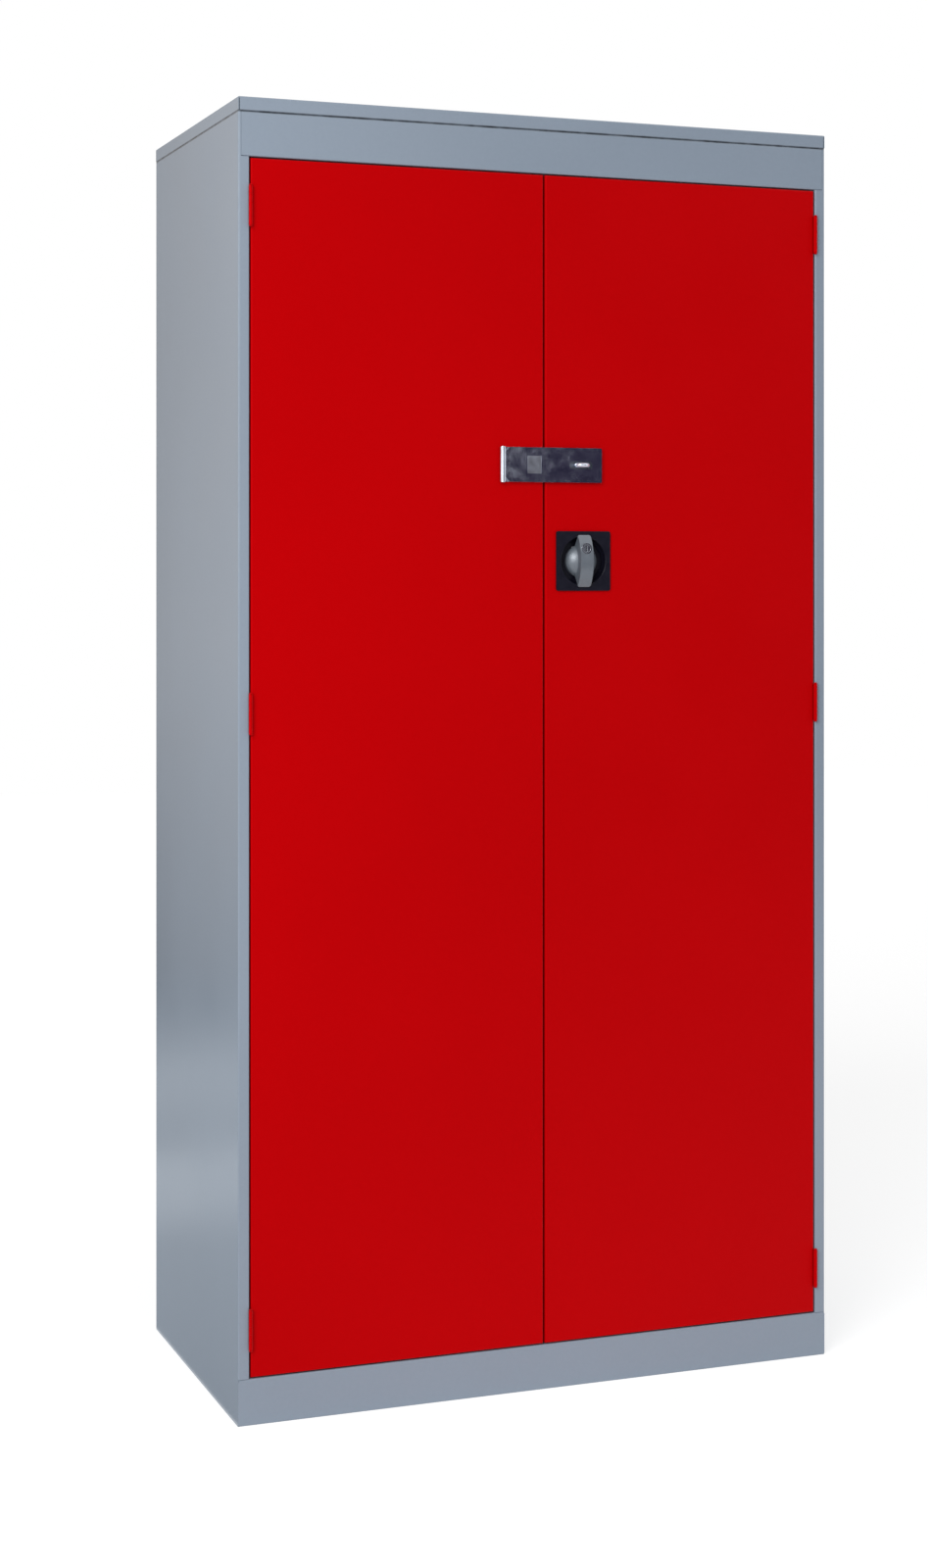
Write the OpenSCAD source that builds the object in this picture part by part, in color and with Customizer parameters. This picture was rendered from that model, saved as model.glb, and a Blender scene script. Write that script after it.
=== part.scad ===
// Two-door steel tool cabinet: welded carcass, adjustable shelves, pan doors on
// knuckle hinges, a hasp and staple, and a wing knob that drives two locking rods.
//
// Frame: X across the front, +Y to the back, +Z up, in millimetres. The origin is on
// the floor under the middle of the cabinet, its front hardware included. Sub-parts
// are drawn from the carcass front plane (y = 0) and moved back by placed().

/* [Cabinet] */
// Overall width
cabinet_w = 915; // [760:1:1100]
// Carcass depth, front plane to back
cabinet_d = 457; // [400:1:600]
// Overall height
cabinet_h = 1830; // [1650:1:2000]
// Height of the top cap's lip
cap_h = 20; // [14:1:30]
// Height of the header, doors to cap
header_h = 62; // [45:1:90]
// Height of the base rail
base_h = 64; // [50:1:100]
// Width of each front stile
stile_w = 16; // [12:1:22]

/* [Sheet] */
// Carcass sheet thickness
sheet_t = 1; // [0.7:0.1:1.2]
// Inside radius of a fold
fold_r = 1; // [0.5:0.1:1.5]
// Hairline seam between carcass sheets
seam = 0.3; // [0.2:0.1:0.5]
// Depth of the jambs, front plane to door stop
jamb_d = 24; // [23:0.5:26]
// Width of the stop behind each door edge
stop_w = 12; // [8:1:14]

/* [Doors] */
// Door sheet thickness
door_t = 1.2; // [0.9:0.1:1.5]
// Depth of the door pans
door_d = 22; // [18:0.5:22.5]
// Gap between each door and its stile
hinge_gap = 2.2; // [2:0.1:3]
// Gap over and under the doors
door_gap = 2; // [1.5:0.1:3]
// Gap between the two doors
meeting_gap = 3; // [2.5:0.1:4]
// Width of the flange folded in behind each door edge
door_flange_w = 20; // [16:1:21]
// Width of the stiffener behind each door skin
stiffener_w = 50; // [40:1:70]
// Diameter of the rubber door buffers
buffer_dia = 8; // [6:0.5:9]
// Buffers, out from the meeting line
buffer_x = 25; // [12:1:30]

/* [Hinges] */
// Length of each hinge
hinge_len = 54; // [44:1:70]
// Diameter of the hinge pins
hinge_pin_dia = 4; // [3:0.5:5]
// Thickness of the hinge leaves
hinge_leaf_t = 0.8; // [0.6:0.1:0.8]
// Hinge centre, in from the door's top or bottom edge
hinge_inset = 66; // [50:1:100]
// Height of the middle hinge above the floor
mid_hinge_z = 980; // [850:1:1050]
// Knuckles on each hinge
hinge_knuckles = 5; // [3:2:7]

/* [Hasp] */
// Height of the hasp's centre above the floor
hasp_z = 1329; // [1290:1:1400]
// Width of the hasp
hasp_w = 50; // [44:1:60]
// Barrel axis, left of the meeting line
hasp_barrel_x = 66.5; // [60:0.5:80]
// Reach of the strap, right of the meeting line
strap_reach = 88.5; // [85:0.5:100]
// Thickness of the strap and of the fixed leaf
strap_t = 2; // [1.6:0.1:2.5]
// Diameter of the hasp barrel
hasp_barrel_dia = 9; // [8:0.5:10]
// Diameter of the hasp pin
hasp_pin_dia = 4; // [3:0.5:4.5]
// Length of each end knuckle on the fixed leaf
end_knuckle = 8.7; // [6:0.1:10]
// Length of the slot in the strap
slot_len = 36.5; // [34:0.5:40]
// Height of the slot in the strap
slot_w = 11; // [9:0.5:12]
// Staple centre, right of the meeting line
staple_x = 55.3; // [53:0.1:58]
// Diameter of the staple's bar
staple_dia = 6; // [5:0.5:6.5]
// Width over the staple's two legs
staple_w = 24; // [22:0.5:26]
// How far the staple stands out from the door
staple_reach = 19; // [18.5:0.5:24]

/* [Handle] */
// Handle centre, right of the meeting line
handle_x = 60.5; // [56:0.5:66]
// Handle centre above the floor
handle_z = 1191; // [1100:1:1230]
// Width of the square handle plate
plate_w = 85; // [84:1:90]
// Thickness of the handle plate
plate_t = 2.5; // [2:0.1:3]
// Radius of the dish at the front
dish_r = 35; // [34:0.5:35.5]
// Radius of the dish at its floor
dish_floor_r = 31; // [30.5:0.5:32]
// Depth of the dish behind the front plane
dish_d = 11; // [10.5:0.5:12]
// Length of the knob's wing
wing_len = 75; // [70:1:80]
// Width of the knob's wing
wing_w = 20; // [19:0.5:22]
// How far the wing stands out at its middle
wing_reach = 16.5; // [15:0.5:18]
// How far the wing's ends stand out
wing_end_reach = 4.5; // [4:0.5:6]
// Radius of the domed boss under the wing
boss_r = 24; // [24:0.5:26]
// Diameter of the lock barrel
lock_dia = 16; // [14:0.5:16]
// Lock centre, above the knob's centre
lock_offset = 18; // [17.5:0.5:19]

/* [Locking rods] */
// Width of the flat locking rods
rod_w = 11; // [9:0.5:12]
// Thickness of the locking rods
rod_t = 3; // [2.5:0.5:3]
// Gear module of the pinion and racks
gear_module = 1.5; // [1.4:0.05:1.6]
// Teeth on the pinion
pinion_teeth = 16; // [14:2:18]
// Front of the rods, behind the front plane
rod_y = 28.5; // [28.5:0.1:29]
// How far the centre latch reaches behind the left door
latch_reach = 12; // [8:1:14]

/* [Shelves] */
// Number of shelves
shelf_count = 4; // [4:1:4]
// Depth of the folded shelf edges
shelf_edge = 30; // [20:1:35]
// Shelf front edge, behind the front plane
shelf_front = 45; // [44:1:60]
// Shelf back edge, in front of the back panel
shelf_back_gap = 26; // [20:1:40]
// Height of the lowest shelf's clip slot
first_slot_z = 150; // [130:1:170]
// Pitch of the clip slots
slot_pitch = 50; // [40:1:60]
// Slots from one shelf to the next
slots_per_shelf = 7; // [6:1:7]

/* [Hidden] */
$fn = 48;
bend_steps = 4;          // flats round each fold
eps = 0.01;              // overlap that keeps cuts and unions clean
running = 0.05;          // radial clearance of a pin in its bore
moving = 0.3;            // clearance between bodies that pass each other

// colours
frame_grey = [0.58, 0.62, 0.67];
door_red = [0.72, 0, 0.02];
chrome = [0.75, 0.77, 0.8];
zinc = [0.62, 0.64, 0.66];
black_cast = [0.06, 0.06, 0.08];
nylon = [0.12, 0.12, 0.12];
rubber = [0.09, 0.09, 0.09];

// carcass planes
front_y = -(cabinet_d + staple_reach) / 2 + staple_reach;
half_w = cabinet_w / 2;
side_in = half_w - sheet_t;                     // inside face of a side sheet
stile_in = half_w - stile_w;                    // jamb face beside a door
stop_in = stile_in - stop_w;                    // free edge of a side stop
cap_z = cabinet_h - cap_h;                      // seam under the cap
head_z = cap_z - header_h;                      // underside of the header
head_lip = stop_w + door_gap;                   // door stop hanging from the header
floor_z = base_h + stop_w + door_gap;           // top of the base panel
back_y = cabinet_d;
back_sheet_y = back_y - 2 * sheet_t;            // front face of the back panel
fold_out = fold_r + sheet_t;                    // outside radius of a fold
side_corner = 4;                                // side's return beside the header
top_flange = 15;                                // flange that carries the cap
foot_flange = 20;                               // flange that stands on the floor
back_flange = 16;

// door planes, drawn for the right-hand door
door_in = meeting_gap / 2;
door_out = stile_in - hinge_gap;
door_bottom = base_h + door_gap;
door_top = head_z - door_gap;
door_fold = fold_r + door_t;
stiffener_x = (door_in + door_out) / 2 + 20;
stiffener_d = door_d - 2 * door_t;

// hinge
hinge_pin_r = hinge_pin_dia / 2;
hinge_bore_r = hinge_pin_r + running;
hinge_barrel_r = hinge_bore_r + hinge_leaf_t;
hinge_x = stile_in - hinge_gap / 2;
hinge_y = -hinge_barrel_r - moving;
hinge_zs = [door_bottom + hinge_inset, mid_hinge_z, door_top - hinge_inset];
hinge_leaf_d = door_d - 2;
knuckle_pitch = hinge_len / hinge_knuckles;

// hasp
hasp_barrel_r = hasp_barrel_dia / 2;
hasp_bore_r = hasp_pin_dia / 2 + running;
hasp_y = -hasp_barrel_r - moving;
strap_back = -strap_t - 1;                      // underside of the strap
strap_front = strap_back - strap_t;
leaf_margin = 4.5;                              // leaf end to the meeting line
mid_knuckle = hasp_w - 2 * end_knuckle - 2 * moving;
strap_chamfer = 6;
hasp_screw_r = 2.5;
nut_r = 4.6;                                    // over a nut's corners
recess_d = 1.2;                                 // depth of a screw's cross recess
hasp_screw_x = [-50, -22];
staple_screw_x = [staple_x - 17, staple_x + 17];
hasp_screw_z = 13;
screw_clearance = 0.3;
staple_plate_w = 46;
staple_plate_h = 42;
staple_r = staple_dia / 2;
staple_arc_r = staple_w / 2 - staple_r;
staple_arc_y = -staple_reach + staple_r + staple_arc_r;

// handle
cup_wall = 1.8;
cup_floor = 1.6;
cutout_w = plate_w - 7;                         // square hole in the door skin
post_r = 4.5;
post_x = cutout_w / 2 - post_r - 1;
posts = [[-1, 1], [1, 1], [1, -1]];             // the fourth corner is the latch's
spindle_r = 6;
spindle_square = 8;
lock_r = lock_dia / 2;
plug_r = lock_r - 2.5;
wing_back = -plate_t - moving;
wing_rise = wing_reach - wing_end_reach;
wing_arc_r = (pow(wing_len / 2, 2) + pow(wing_rise, 2)) / (2 * wing_rise);
boss_back = dish_d - moving;
boss_top = -8;
boss_edge = 5;
boss_sphere_r = (pow(boss_r, 2) + pow(boss_edge - boss_top, 2)) / (2 * (boss_edge - boss_top));
tongue_len = 14.5;
tongue_w = 6;
tongue_t = 2.4;
lock_back = boss_back - tongue_t - 1;           // back of the lock barrel
notch_half = 12.5;
notch_r = lock_offset + tongue_len + 1;

// rods, rack and pinion; the latch swings in front of the rods
pitch_r = gear_module * pinion_teeth / 2;
tooth_pitch = PI * gear_module;
backlash = 0.12;
rack_addendum = 0.9 * gear_module;
dedendum = 1.25 * gear_module;
rack_root = pitch_r + dedendum;
rod_x = rack_root + rod_w / 2;                  // rod centre from the spindle
rod_stroke = pitch_r * PI / 2;                  // a quarter turn of the knob
rod_back = rod_y + rod_t;
rod_play = 0.3;
rack_over = 2 * tooth_pitch + 0.1;              // rack beyond the mesh at each end
guide_top = head_z - head_lip - 1;              // upper guide, under the header's stop
guide_foot = floor_z + 1;                       // lower guide, over the base panel
rod_top = guide_top - 2;
rod_foot = guide_foot + 2;
latch_y = door_d + 1;
latch_t = 2.5;
latch_w = 16;
latch_hub_r = 11;
latch_len = handle_x + latch_reach;
cage_t = 1.5;
cage_y = rod_back + 0.7;                        // front of the cage's back plate
cage_w = 2 * (post_x + post_r + 2);
cage_wall_x = rack_root + rod_w + rod_play;
cage_lip = 4;
cage_half_h = 32;
cage_head = 2.6;                                // height of a cage screw's head
spindle_end = cage_y + cage_t + 0.5;
guide_w = 24;
guide_h = 14;
guide_wall = 1.9;
rod_slot_w = 20;
rod_slot_d = 6;

// shelves
upright_ys = [75, back_y - 62];
upright_w = 30;
upright_t = 1.2;
upright_d = 11;
upright_foot = 12;
crown_in = half_w - sheet_t - upright_d;        // face of an upright
clip_slot_w = 5;
clip_slot_h = 16;
clip_t = 1.5;
clip_w = 24;
clip_drop = 22;
clip_tab = 14;
clip_hook = 4;
shelf_out = crown_in - clip_t - 0.5;            // free end of a shelf
shelf_back = back_sheet_y - shelf_back_gap;
shelf_return = 12;
shelf_slots = [for (i = [0 : shelf_count - 1]) 5 + i * slots_per_shelf];
slot_total = floor((cap_z - 60 - first_slot_z) / slot_pitch);

// ---- drawing helpers ----

module placed() translate([0, front_y, 0]) children();

// Both hands of a part that is drawn on the left.
module on_right() mirror([1, 0, 0]) children();

// A profile in (y, z) drawn out along X.
module along_x(x0, x1) {
    translate([x0, 0, 0]) rotate([90, 0, 90]) linear_extrude(x1 - x0) children();
}

// A profile in (x, z) drawn out along Y.
module along_y(y0, y1) {
    translate([0, y1, 0]) rotate([90, 0, 0]) linear_extrude(y1 - y0) children();
}

// A profile in (x, y) drawn out along Z.
module along_z(z0, z1) translate([0, 0, z0]) linear_extrude(z1 - z0) children();

// A round bar or hole along Y.
module rod_y_axis(r, y0, y1) {
    translate([0, y0, 0]) rotate([-90, 0, 0]) cylinder(r = r, h = y1 - y0);
}

// A profile in (radius, depth) turned about the Y axis.
module turned() rotate([-90, 0, 0]) rotate_extrude() children();

module at(x, z) translate([x, 0, z]) children();

module rounded(w, h, r) {
    square([w - 2 * r, h], center = true);
    square([w, h - 2 * r], center = true);
    for (sx = [-1, 1], sy = [-1, 1])
        translate([sx * (w / 2 - r), sy * (h / 2 - r)]) circle(r);
}

// A rounded rectangle given by its corners.
module rounded_between(a0, b0, a1, b1, r) {
    translate([(a0 + a1) / 2, (b0 + b1) / 2]) rounded(a1 - a0, b1 - b0, r);
}

// ---- folded sheet ----
// folded() thickens a path of one sheet face to its right and rounds every bend.

function unit(v) = v / norm(v);
function right_of(d) = [d[1], -d[0]];
function swung(v, a) = [v[0] * cos(a) - v[1] * sin(a), v[0] * sin(a) + v[1] * cos(a)];
function turn_sign(a, b) = sign(a[0] * b[1] - a[1] * b[0]);

// One bend's points on the path's own face, or on the sheet's far face.
function bend(p0, p1, p2, t, r, far) =
    let (d1 = unit(p1 - p0), d2 = unit(p2 - p1),
         s = turn_sign(d1, d2),
         angle = acos(d1 * d2),
         near_r = s < 0 ? r + t : r,
         radius = !far ? near_r : s < 0 ? r : r + t,
         inward = right_of(d1) * -s,
         centre = p1 - d1 * near_r * tan(angle / 2) + inward * near_r)
    [for (i = [0 : bend_steps]) centre - swung(inward, s * angle * i / bend_steps) * radius];

function folded(path, t = sheet_t, r = fold_r) =
    let (last = len(path) - 1,
         d0 = unit(path[1] - path[0]), d9 = unit(path[last] - path[last - 1]))
    concat(
        [path[0]],
        [for (i = [1 : last - 1]) each bend(path[i - 1], path[i], path[i + 1], t, r, false)],
        [path[last], path[last] + right_of(d9) * t],
        [for (i = [last - 1 : -1 : 1])
            let (arc = bend(path[i - 1], path[i], path[i + 1], t, r, true))
            each [for (k = [bend_steps : -1 : 0]) arc[k]]],
        [path[0] + right_of(d0) * t]);

// ---- carcass ----

// Side panel: sheet with floor and cap flanges, front stile, jamb and door stop.
module side_shape() {
    difference() {
        union() {
            along_y(fold_out, back_sheet_y - fold_r - seam) polygon(folded([
                [-half_w + foot_flange, 0], [-half_w, 0],
                [-half_w, cap_z], [-half_w + top_flange, cap_z]]));
            along_z(0, cap_z) polygon(folded([
                [-stop_in, jamb_d], [-stile_in, jamb_d], [-stile_in, 0],
                [-half_w, 0], [-half_w, back_y], [-half_w + back_flange, back_y]]));
        }
        // the base rail takes the corner at the foot
        translate([-half_w - eps, -eps, -eps])
            cube([stile_w + stop_w + 1, sheet_t + seam + eps, base_h + seam + eps]);
        translate([-side_in, -eps, -eps])
            cube([stile_w + stop_w, jamb_d + fold_out, base_h + seam + eps]);
        // the header takes the front above the doors
        translate([-half_w + side_corner, -eps, head_z - seam])
            cube([stile_w + stop_w, jamb_d + fold_out, cabinet_h]);
        // the back return stops short of the two end flanges
        for (z = [-eps, cap_z - fold_out])
            translate([-side_in + fold_r, back_y - fold_out, z])
                cube([back_flange, fold_out + eps, fold_out + eps]);
    }
}

module side_left() color(frame_grey) placed() side_shape();

module side_right() color(frame_grey) placed() on_right() side_shape();

module back_panel() color(frame_grey) placed() {
    edge = side_in - fold_out - seam;
    difference() {
        along_x(-edge, edge) polygon(folded([
            [back_sheet_y - top_flange, cap_z], [back_y - sheet_t, cap_z],
            [back_y - sheet_t, sheet_t], [back_sheet_y - top_flange, sheet_t]]));
        // its folds clear the sides' flanges
        for (s = [-1, 1], z = [0, cap_z - fold_out])
            translate([s * (half_w - top_flange / 2 - seam) - (top_flange + seam) / 2,
                       0, z - eps])
                cube([top_flange + seam, back_sheet_y - fold_r, fold_out + 2 * eps]);
    }
}

// Cap: a tray with an in-turned lip, its corners left open as two narrow slots.
module top_cap() color(frame_grey) placed() {
    lip_return = 12;
    corner_slot = 1.2;
    difference() {
        intersection() {
            along_x(-half_w, half_w)
                rounded_between(0, cap_z, back_y, cabinet_h, fold_out);
            along_y(0, back_y)
                rounded_between(-half_w, cap_z, half_w, cabinet_h, fold_out);
        }
        translate([-side_in, sheet_t, cap_z + sheet_t])
            cube([2 * side_in, back_y - 2 * sheet_t, cap_h - 2 * sheet_t]);
        translate([-half_w + lip_return, lip_return, cap_z - eps])
            cube([cabinet_w - 2 * lip_return, back_y - 2 * lip_return, 2 * sheet_t]);
        for (s = [-1, 1])
            translate([s * (side_in - corner_slot / 2) - corner_slot / 2,
                       -eps, cap_z - eps])
                cube([corner_slot, sheet_t + 2 * eps, cap_h - fold_out]);
    }
}

module header_rail() color(frame_grey) placed() {
    edge = half_w - side_corner - seam;
    stop_edge = stop_in - seam;
    difference() {
        along_x(-edge, edge) polygon(folded([
            [jamb_d, head_z - head_lip], [jamb_d, head_z], [0, head_z],
            [0, cap_z], [jamb_d - 2, cap_z]]));
        for (s = [-1, 1])
            translate([s * (stop_edge + half_w) / 2 - (half_w - stop_edge) / 2,
                       jamb_d - fold_r, head_z - head_lip - eps])
                cube([half_w - stop_edge, 2 * fold_out, head_lip + 2 * fold_out]);
    }
}

// Base rail: folded section between the sides, its face running out to the corners.
module base_rail() color(frame_grey) placed() {
    along_x(-side_in + seam, side_in - seam) polygon(folded([
        [foot_flange, 0], [0, 0], [0, base_h],
        [jamb_d, base_h], [jamb_d, base_h - stop_w - door_gap]]));
    translate([-half_w, 0, fold_out]) cube([cabinet_w, sheet_t, base_h - 2 * fold_out]);
}

// Base panel: the cupboard's floor, its front fold the doors' lower stop, with a slot
// that takes the lower rod.
module base_panel() color(frame_grey) placed() {
    edge = side_in - seam;
    stop_edge = stop_in - seam;
    difference() {
        union() {
            along_x(-edge, edge) polygon(folded([
                [jamb_d, floor_z - shelf_edge], [jamb_d, floor_z],
                [back_sheet_y, floor_z], [back_sheet_y, floor_z - shelf_edge]]));
            for (s = [-1, 1])
                translate([s * (edge - sheet_t / 2) - sheet_t / 2,
                           jamb_d + fold_out, floor_z - shelf_edge])
                    cube([sheet_t, back_sheet_y - jamb_d - 2 * fold_out,
                          shelf_edge - sheet_t + eps]);
        }
        for (s = [-1, 1])
            translate([s * (stop_edge + half_w) / 2 - (half_w - stop_edge) / 2,
                       jamb_d - eps, floor_z - shelf_edge - eps])
                cube([half_w - stop_edge, sheet_t + seam, shelf_edge + 1]);
        at(handle_x + rod_x, 0)
            translate([-rod_slot_w / 2, rod_y - (rod_slot_d - rod_t) / 2, floor_z - 5])
                cube([rod_slot_w, rod_slot_d, 10]);
    }
}

// ---- shelving ----

function slot_z(n) = first_slot_z + n * slot_pitch;
function shelf_z(i) = slot_z(shelf_slots[i]) + clip_slot_h / 2 + shelf_edge;

// Hat-section upright with a row of clip slots, drawn on the left.
module upright_shape(y) {
    flange = upright_w / 2 + upright_foot;
    difference() {
        along_z(floor_z, cap_z - 5) polygon(folded([
            [-side_in, y - flange], [-side_in, y - upright_w / 2],
            [-crown_in - upright_t, y - upright_w / 2],
            [-crown_in - upright_t, y + upright_w / 2],
            [-side_in, y + upright_w / 2], [-side_in, y + flange]],
            upright_t, 0.8));
        for (n = [0 : slot_total])
            translate([-crown_in - 3, y - clip_slot_w / 2, slot_z(n) - clip_slot_h / 2])
                cube([6, clip_slot_w, clip_slot_h]);
    }
}

module upright_front_left() color(frame_grey) placed() upright_shape(upright_ys[0]);

module upright_front_right() color(frame_grey) placed() on_right() upright_shape(upright_ys[0]);

module upright_rear_left() color(frame_grey) placed() upright_shape(upright_ys[1]);

module upright_rear_right() color(frame_grey) placed() on_right() upright_shape(upright_ys[1]);

// Clip: tab under the shelf, plate on the upright, and a hook that rests on the slot's
// lower edge and drops behind it.
module clip_shape(y, z) {
    hook_w = clip_slot_w - 2 * moving;
    hook_x = -crown_in - upright_t - moving - clip_t;
    translate([0, y, z]) {
        translate([-crown_in, -clip_w / 2, -clip_drop]) cube([clip_t, clip_w, clip_drop]);
        translate([-crown_in, -clip_w / 2, -clip_t]) cube([clip_tab, clip_w, clip_t]);
        translate([hook_x, -hook_w / 2, -clip_slot_h])
            cube([-crown_in - hook_x + eps, hook_w, clip_hook]);
        translate([hook_x, -hook_w / 2, -clip_slot_h - clip_hook])
            cube([clip_t, hook_w, 2 * clip_hook]);
    }
}

module shelf_clips() color(zinc) placed() {
    for (i = [0 : shelf_count - 1], y = upright_ys) {
        clip_shape(y, shelf_z(i) - shelf_edge);
        on_right() clip_shape(y, shelf_z(i) - shelf_edge);
    }
}

// Shelf: tray with folded front and back edges and plain end flanges.
module shelf_shape(i) {
    z = shelf_z(i);
    along_x(-shelf_out, shelf_out) polygon(folded([
        [shelf_front + shelf_return, z - shelf_edge], [shelf_front, z - shelf_edge],
        [shelf_front, z], [shelf_back, z],
        [shelf_back, z - shelf_edge], [shelf_back - shelf_return, z - shelf_edge]]));
    for (s = [-1, 1])
        translate([s * (shelf_out - sheet_t / 2) - sheet_t / 2,
                   shelf_front + fold_out, z - shelf_edge])
            cube([sheet_t, shelf_back - shelf_front - 2 * fold_out,
                  shelf_edge - sheet_t + eps]);
}

module shelf_1() color(frame_grey) placed() shelf_shape(0);

module shelf_2() color(frame_grey) placed() shelf_shape(1);

module shelf_3() color(frame_grey) placed() shelf_shape(2);

module shelf_4() color(frame_grey) placed() shelf_shape(3);

// Buffers on the header's stop and on the base panel's front fold.
module door_buffers() color(rubber) placed() {
    for (s = [-1, 1], z = [door_top - stop_w / 2, door_bottom + stop_w / 2])
        at(s * buffer_x, z) rod_y_axis(buffer_dia / 2, door_d + moving, jamb_d);
}

// ---- doors, drawn for the right-hand door ----

module door_pan() {
    intersection() {
        along_z(door_bottom, door_top)
            rounded_between(door_in, 0, door_out, door_d, door_fold);
        along_x(door_in, door_out)
            rounded_between(0, door_bottom, door_d, door_top, door_fold);
    }
}

module door_shell() {
    difference() {
        door_pan();
        translate([door_in + door_t, door_t, door_bottom + door_t])
            cube([door_out - door_in - 2 * door_t, door_d - 2 * door_t,
                  door_top - door_bottom - 2 * door_t]);
        translate([door_in + door_flange_w, door_d - 2 * door_t, door_bottom + door_flange_w])
            cube([door_out - door_in - 2 * door_flange_w, 4 * door_t,
                  door_top - door_bottom - 2 * door_flange_w]);
    }
}

module stiffener_shape() {
    foot = 20;
    along_z(door_bottom + door_t + 0.3, door_top - door_t - 0.3) polygon(folded([
        [stiffener_x + stiffener_w / 2 + foot, door_t],
        [stiffener_x + stiffener_w / 2, door_t],
        [stiffener_x + stiffener_w / 2, door_t + stiffener_d - sheet_t],
        [stiffener_x - stiffener_w / 2, door_t + stiffener_d - sheet_t],
        [stiffener_x - stiffener_w / 2, door_t],
        [stiffener_x - stiffener_w / 2 - foot, door_t]]));
}

// Clearance holes in a door skin for screws that pass through it.
module screw_holes(xs) {
    for (x = xs, s = [-1, 1])
        at(x, hasp_z + s * hasp_screw_z)
            rod_y_axis(hasp_screw_r + screw_clearance, -1, door_t + 1);
}

module door_left() color(door_red) placed() difference() {
    on_right() door_shell();
    screw_holes(hasp_screw_x);
}

module stiffener_left() color(door_red) placed() on_right() stiffener_shape();

module door_right() color(door_red) placed() difference() {
    door_shell();
    screw_holes(staple_screw_x);
    at(handle_x, handle_z) along_y(-1, door_t + 1) square(cutout_w, center = true);
    for (s = [-1, 1])
        at(staple_x + s * staple_arc_r, hasp_z)
            rod_y_axis(staple_r + screw_clearance, -1, door_t + 1);
}

module stiffener_right() color(door_red) placed() stiffener_shape();

// ---- hinges, drawn on the right ----

// One leaf with its own knuckles. side is 1 on the carcass and -1 on the door.
module hinge_leaf(z, side) {
    first = side > 0 ? 0 : 1;
    leaf_x = hinge_x + side * (hinge_gap - hinge_leaf_t) / 2 - hinge_leaf_t / 2;
    neck_y = hinge_y + (hinge_bore_r + hinge_barrel_r) / 2;
    knuckle = knuckle_pitch - moving;
    for (k = [first : 2 : hinge_knuckles - 1]) {
        z0 = z - hinge_len / 2 + k * knuckle_pitch + moving / 2;
        difference() {
            translate([hinge_x, hinge_y, z0]) cylinder(r = hinge_barrel_r, h = knuckle);
            translate([hinge_x, hinge_y, z0 - 1]) cylinder(r = hinge_bore_r, h = knuckle + 2);
        }
        translate([leaf_x, neck_y, z0]) cube([hinge_leaf_t, moving - neck_y + eps, knuckle]);
    }
    translate([leaf_x, moving, z - hinge_len / 2])
        cube([hinge_leaf_t, hinge_leaf_d - moving, hinge_len]);
}

module hinge_frame_leaves() for (z = hinge_zs) hinge_leaf(z, 1);

module hinge_door_leaves() for (z = hinge_zs) hinge_leaf(z, -1);

module hinge_pins() {
    for (z = hinge_zs)
        translate([hinge_x, hinge_y, z - hinge_len / 2 - 1])
            cylinder(r = hinge_pin_r, h = hinge_len + 2);
}

module hinge_frame_leaves_left() color(door_red) placed() on_right() hinge_frame_leaves();

module hinge_frame_leaves_right() color(door_red) placed() hinge_frame_leaves();

module hinge_pins_left() color(door_red) placed() on_right() hinge_pins();

module hinge_pins_right() color(door_red) placed() hinge_pins();

module hinge_door_leaves_left() color(door_red) placed() on_right() hinge_door_leaves();

module hinge_door_leaves_right() color(door_red) placed() hinge_door_leaves();

// ---- hasp and staple ----

// A knuckle of the hasp's barrel, about its vertical axis.
module hasp_knuckle(z0, len) {
    translate([-hasp_barrel_x, hasp_y, hasp_z + z0]) difference() {
        cylinder(r = hasp_barrel_r, h = len);
        translate([0, 0, -1]) cylinder(r = hasp_bore_r, h = len + 2);
    }
}

// Cross for a screwdriver, sunk into a screw head between two depths.
module cross_recess(span, y0, y1) along_y(y0, y1) {
    square([span, span / 5], center = true);
    square([span / 5, span], center = true);
}

// Countersunk screw through a hasp plate, its hexagon nut behind the door skin.
module hasp_screw() difference() {
    union() {
        translate([0, -strap_t, 0]) rotate([-90, 0, 0])
            cylinder(r1 = hasp_screw_r * 2, r2 = hasp_screw_r, h = hasp_screw_r * 0.7);
        rod_y_axis(hasp_screw_r, -strap_t + 1, door_t + 6);
        along_y(door_t, door_t + 4) circle(nut_r, $fn = 6);
    }
    cross_recess(hasp_screw_r * 2, -strap_t - 1, -strap_t + recess_d);
}

module hasp_screw_group(xs) {
    for (x = xs, s = [-1, 1]) at(x, hasp_z + s * hasp_screw_z) hasp_screw();
}

// The countersunk hole that a hasp screw fills.
module countersinks(xs) {
    for (x = xs, s = [-1, 1]) at(x, hasp_z + s * hasp_screw_z) {
        rod_y_axis(hasp_screw_r + running, -strap_t - 1, 1);
        translate([0, -strap_t, 0]) rotate([-90, 0, 0])
            cylinder(r1 = hasp_screw_r * 2 + running, r2 = hasp_screw_r + running,
                     h = hasp_screw_r * 0.7 + running);
        rod_y_axis(hasp_screw_r * 2 + running, -strap_t - 1, -strap_t + eps);
    }
}

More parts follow.
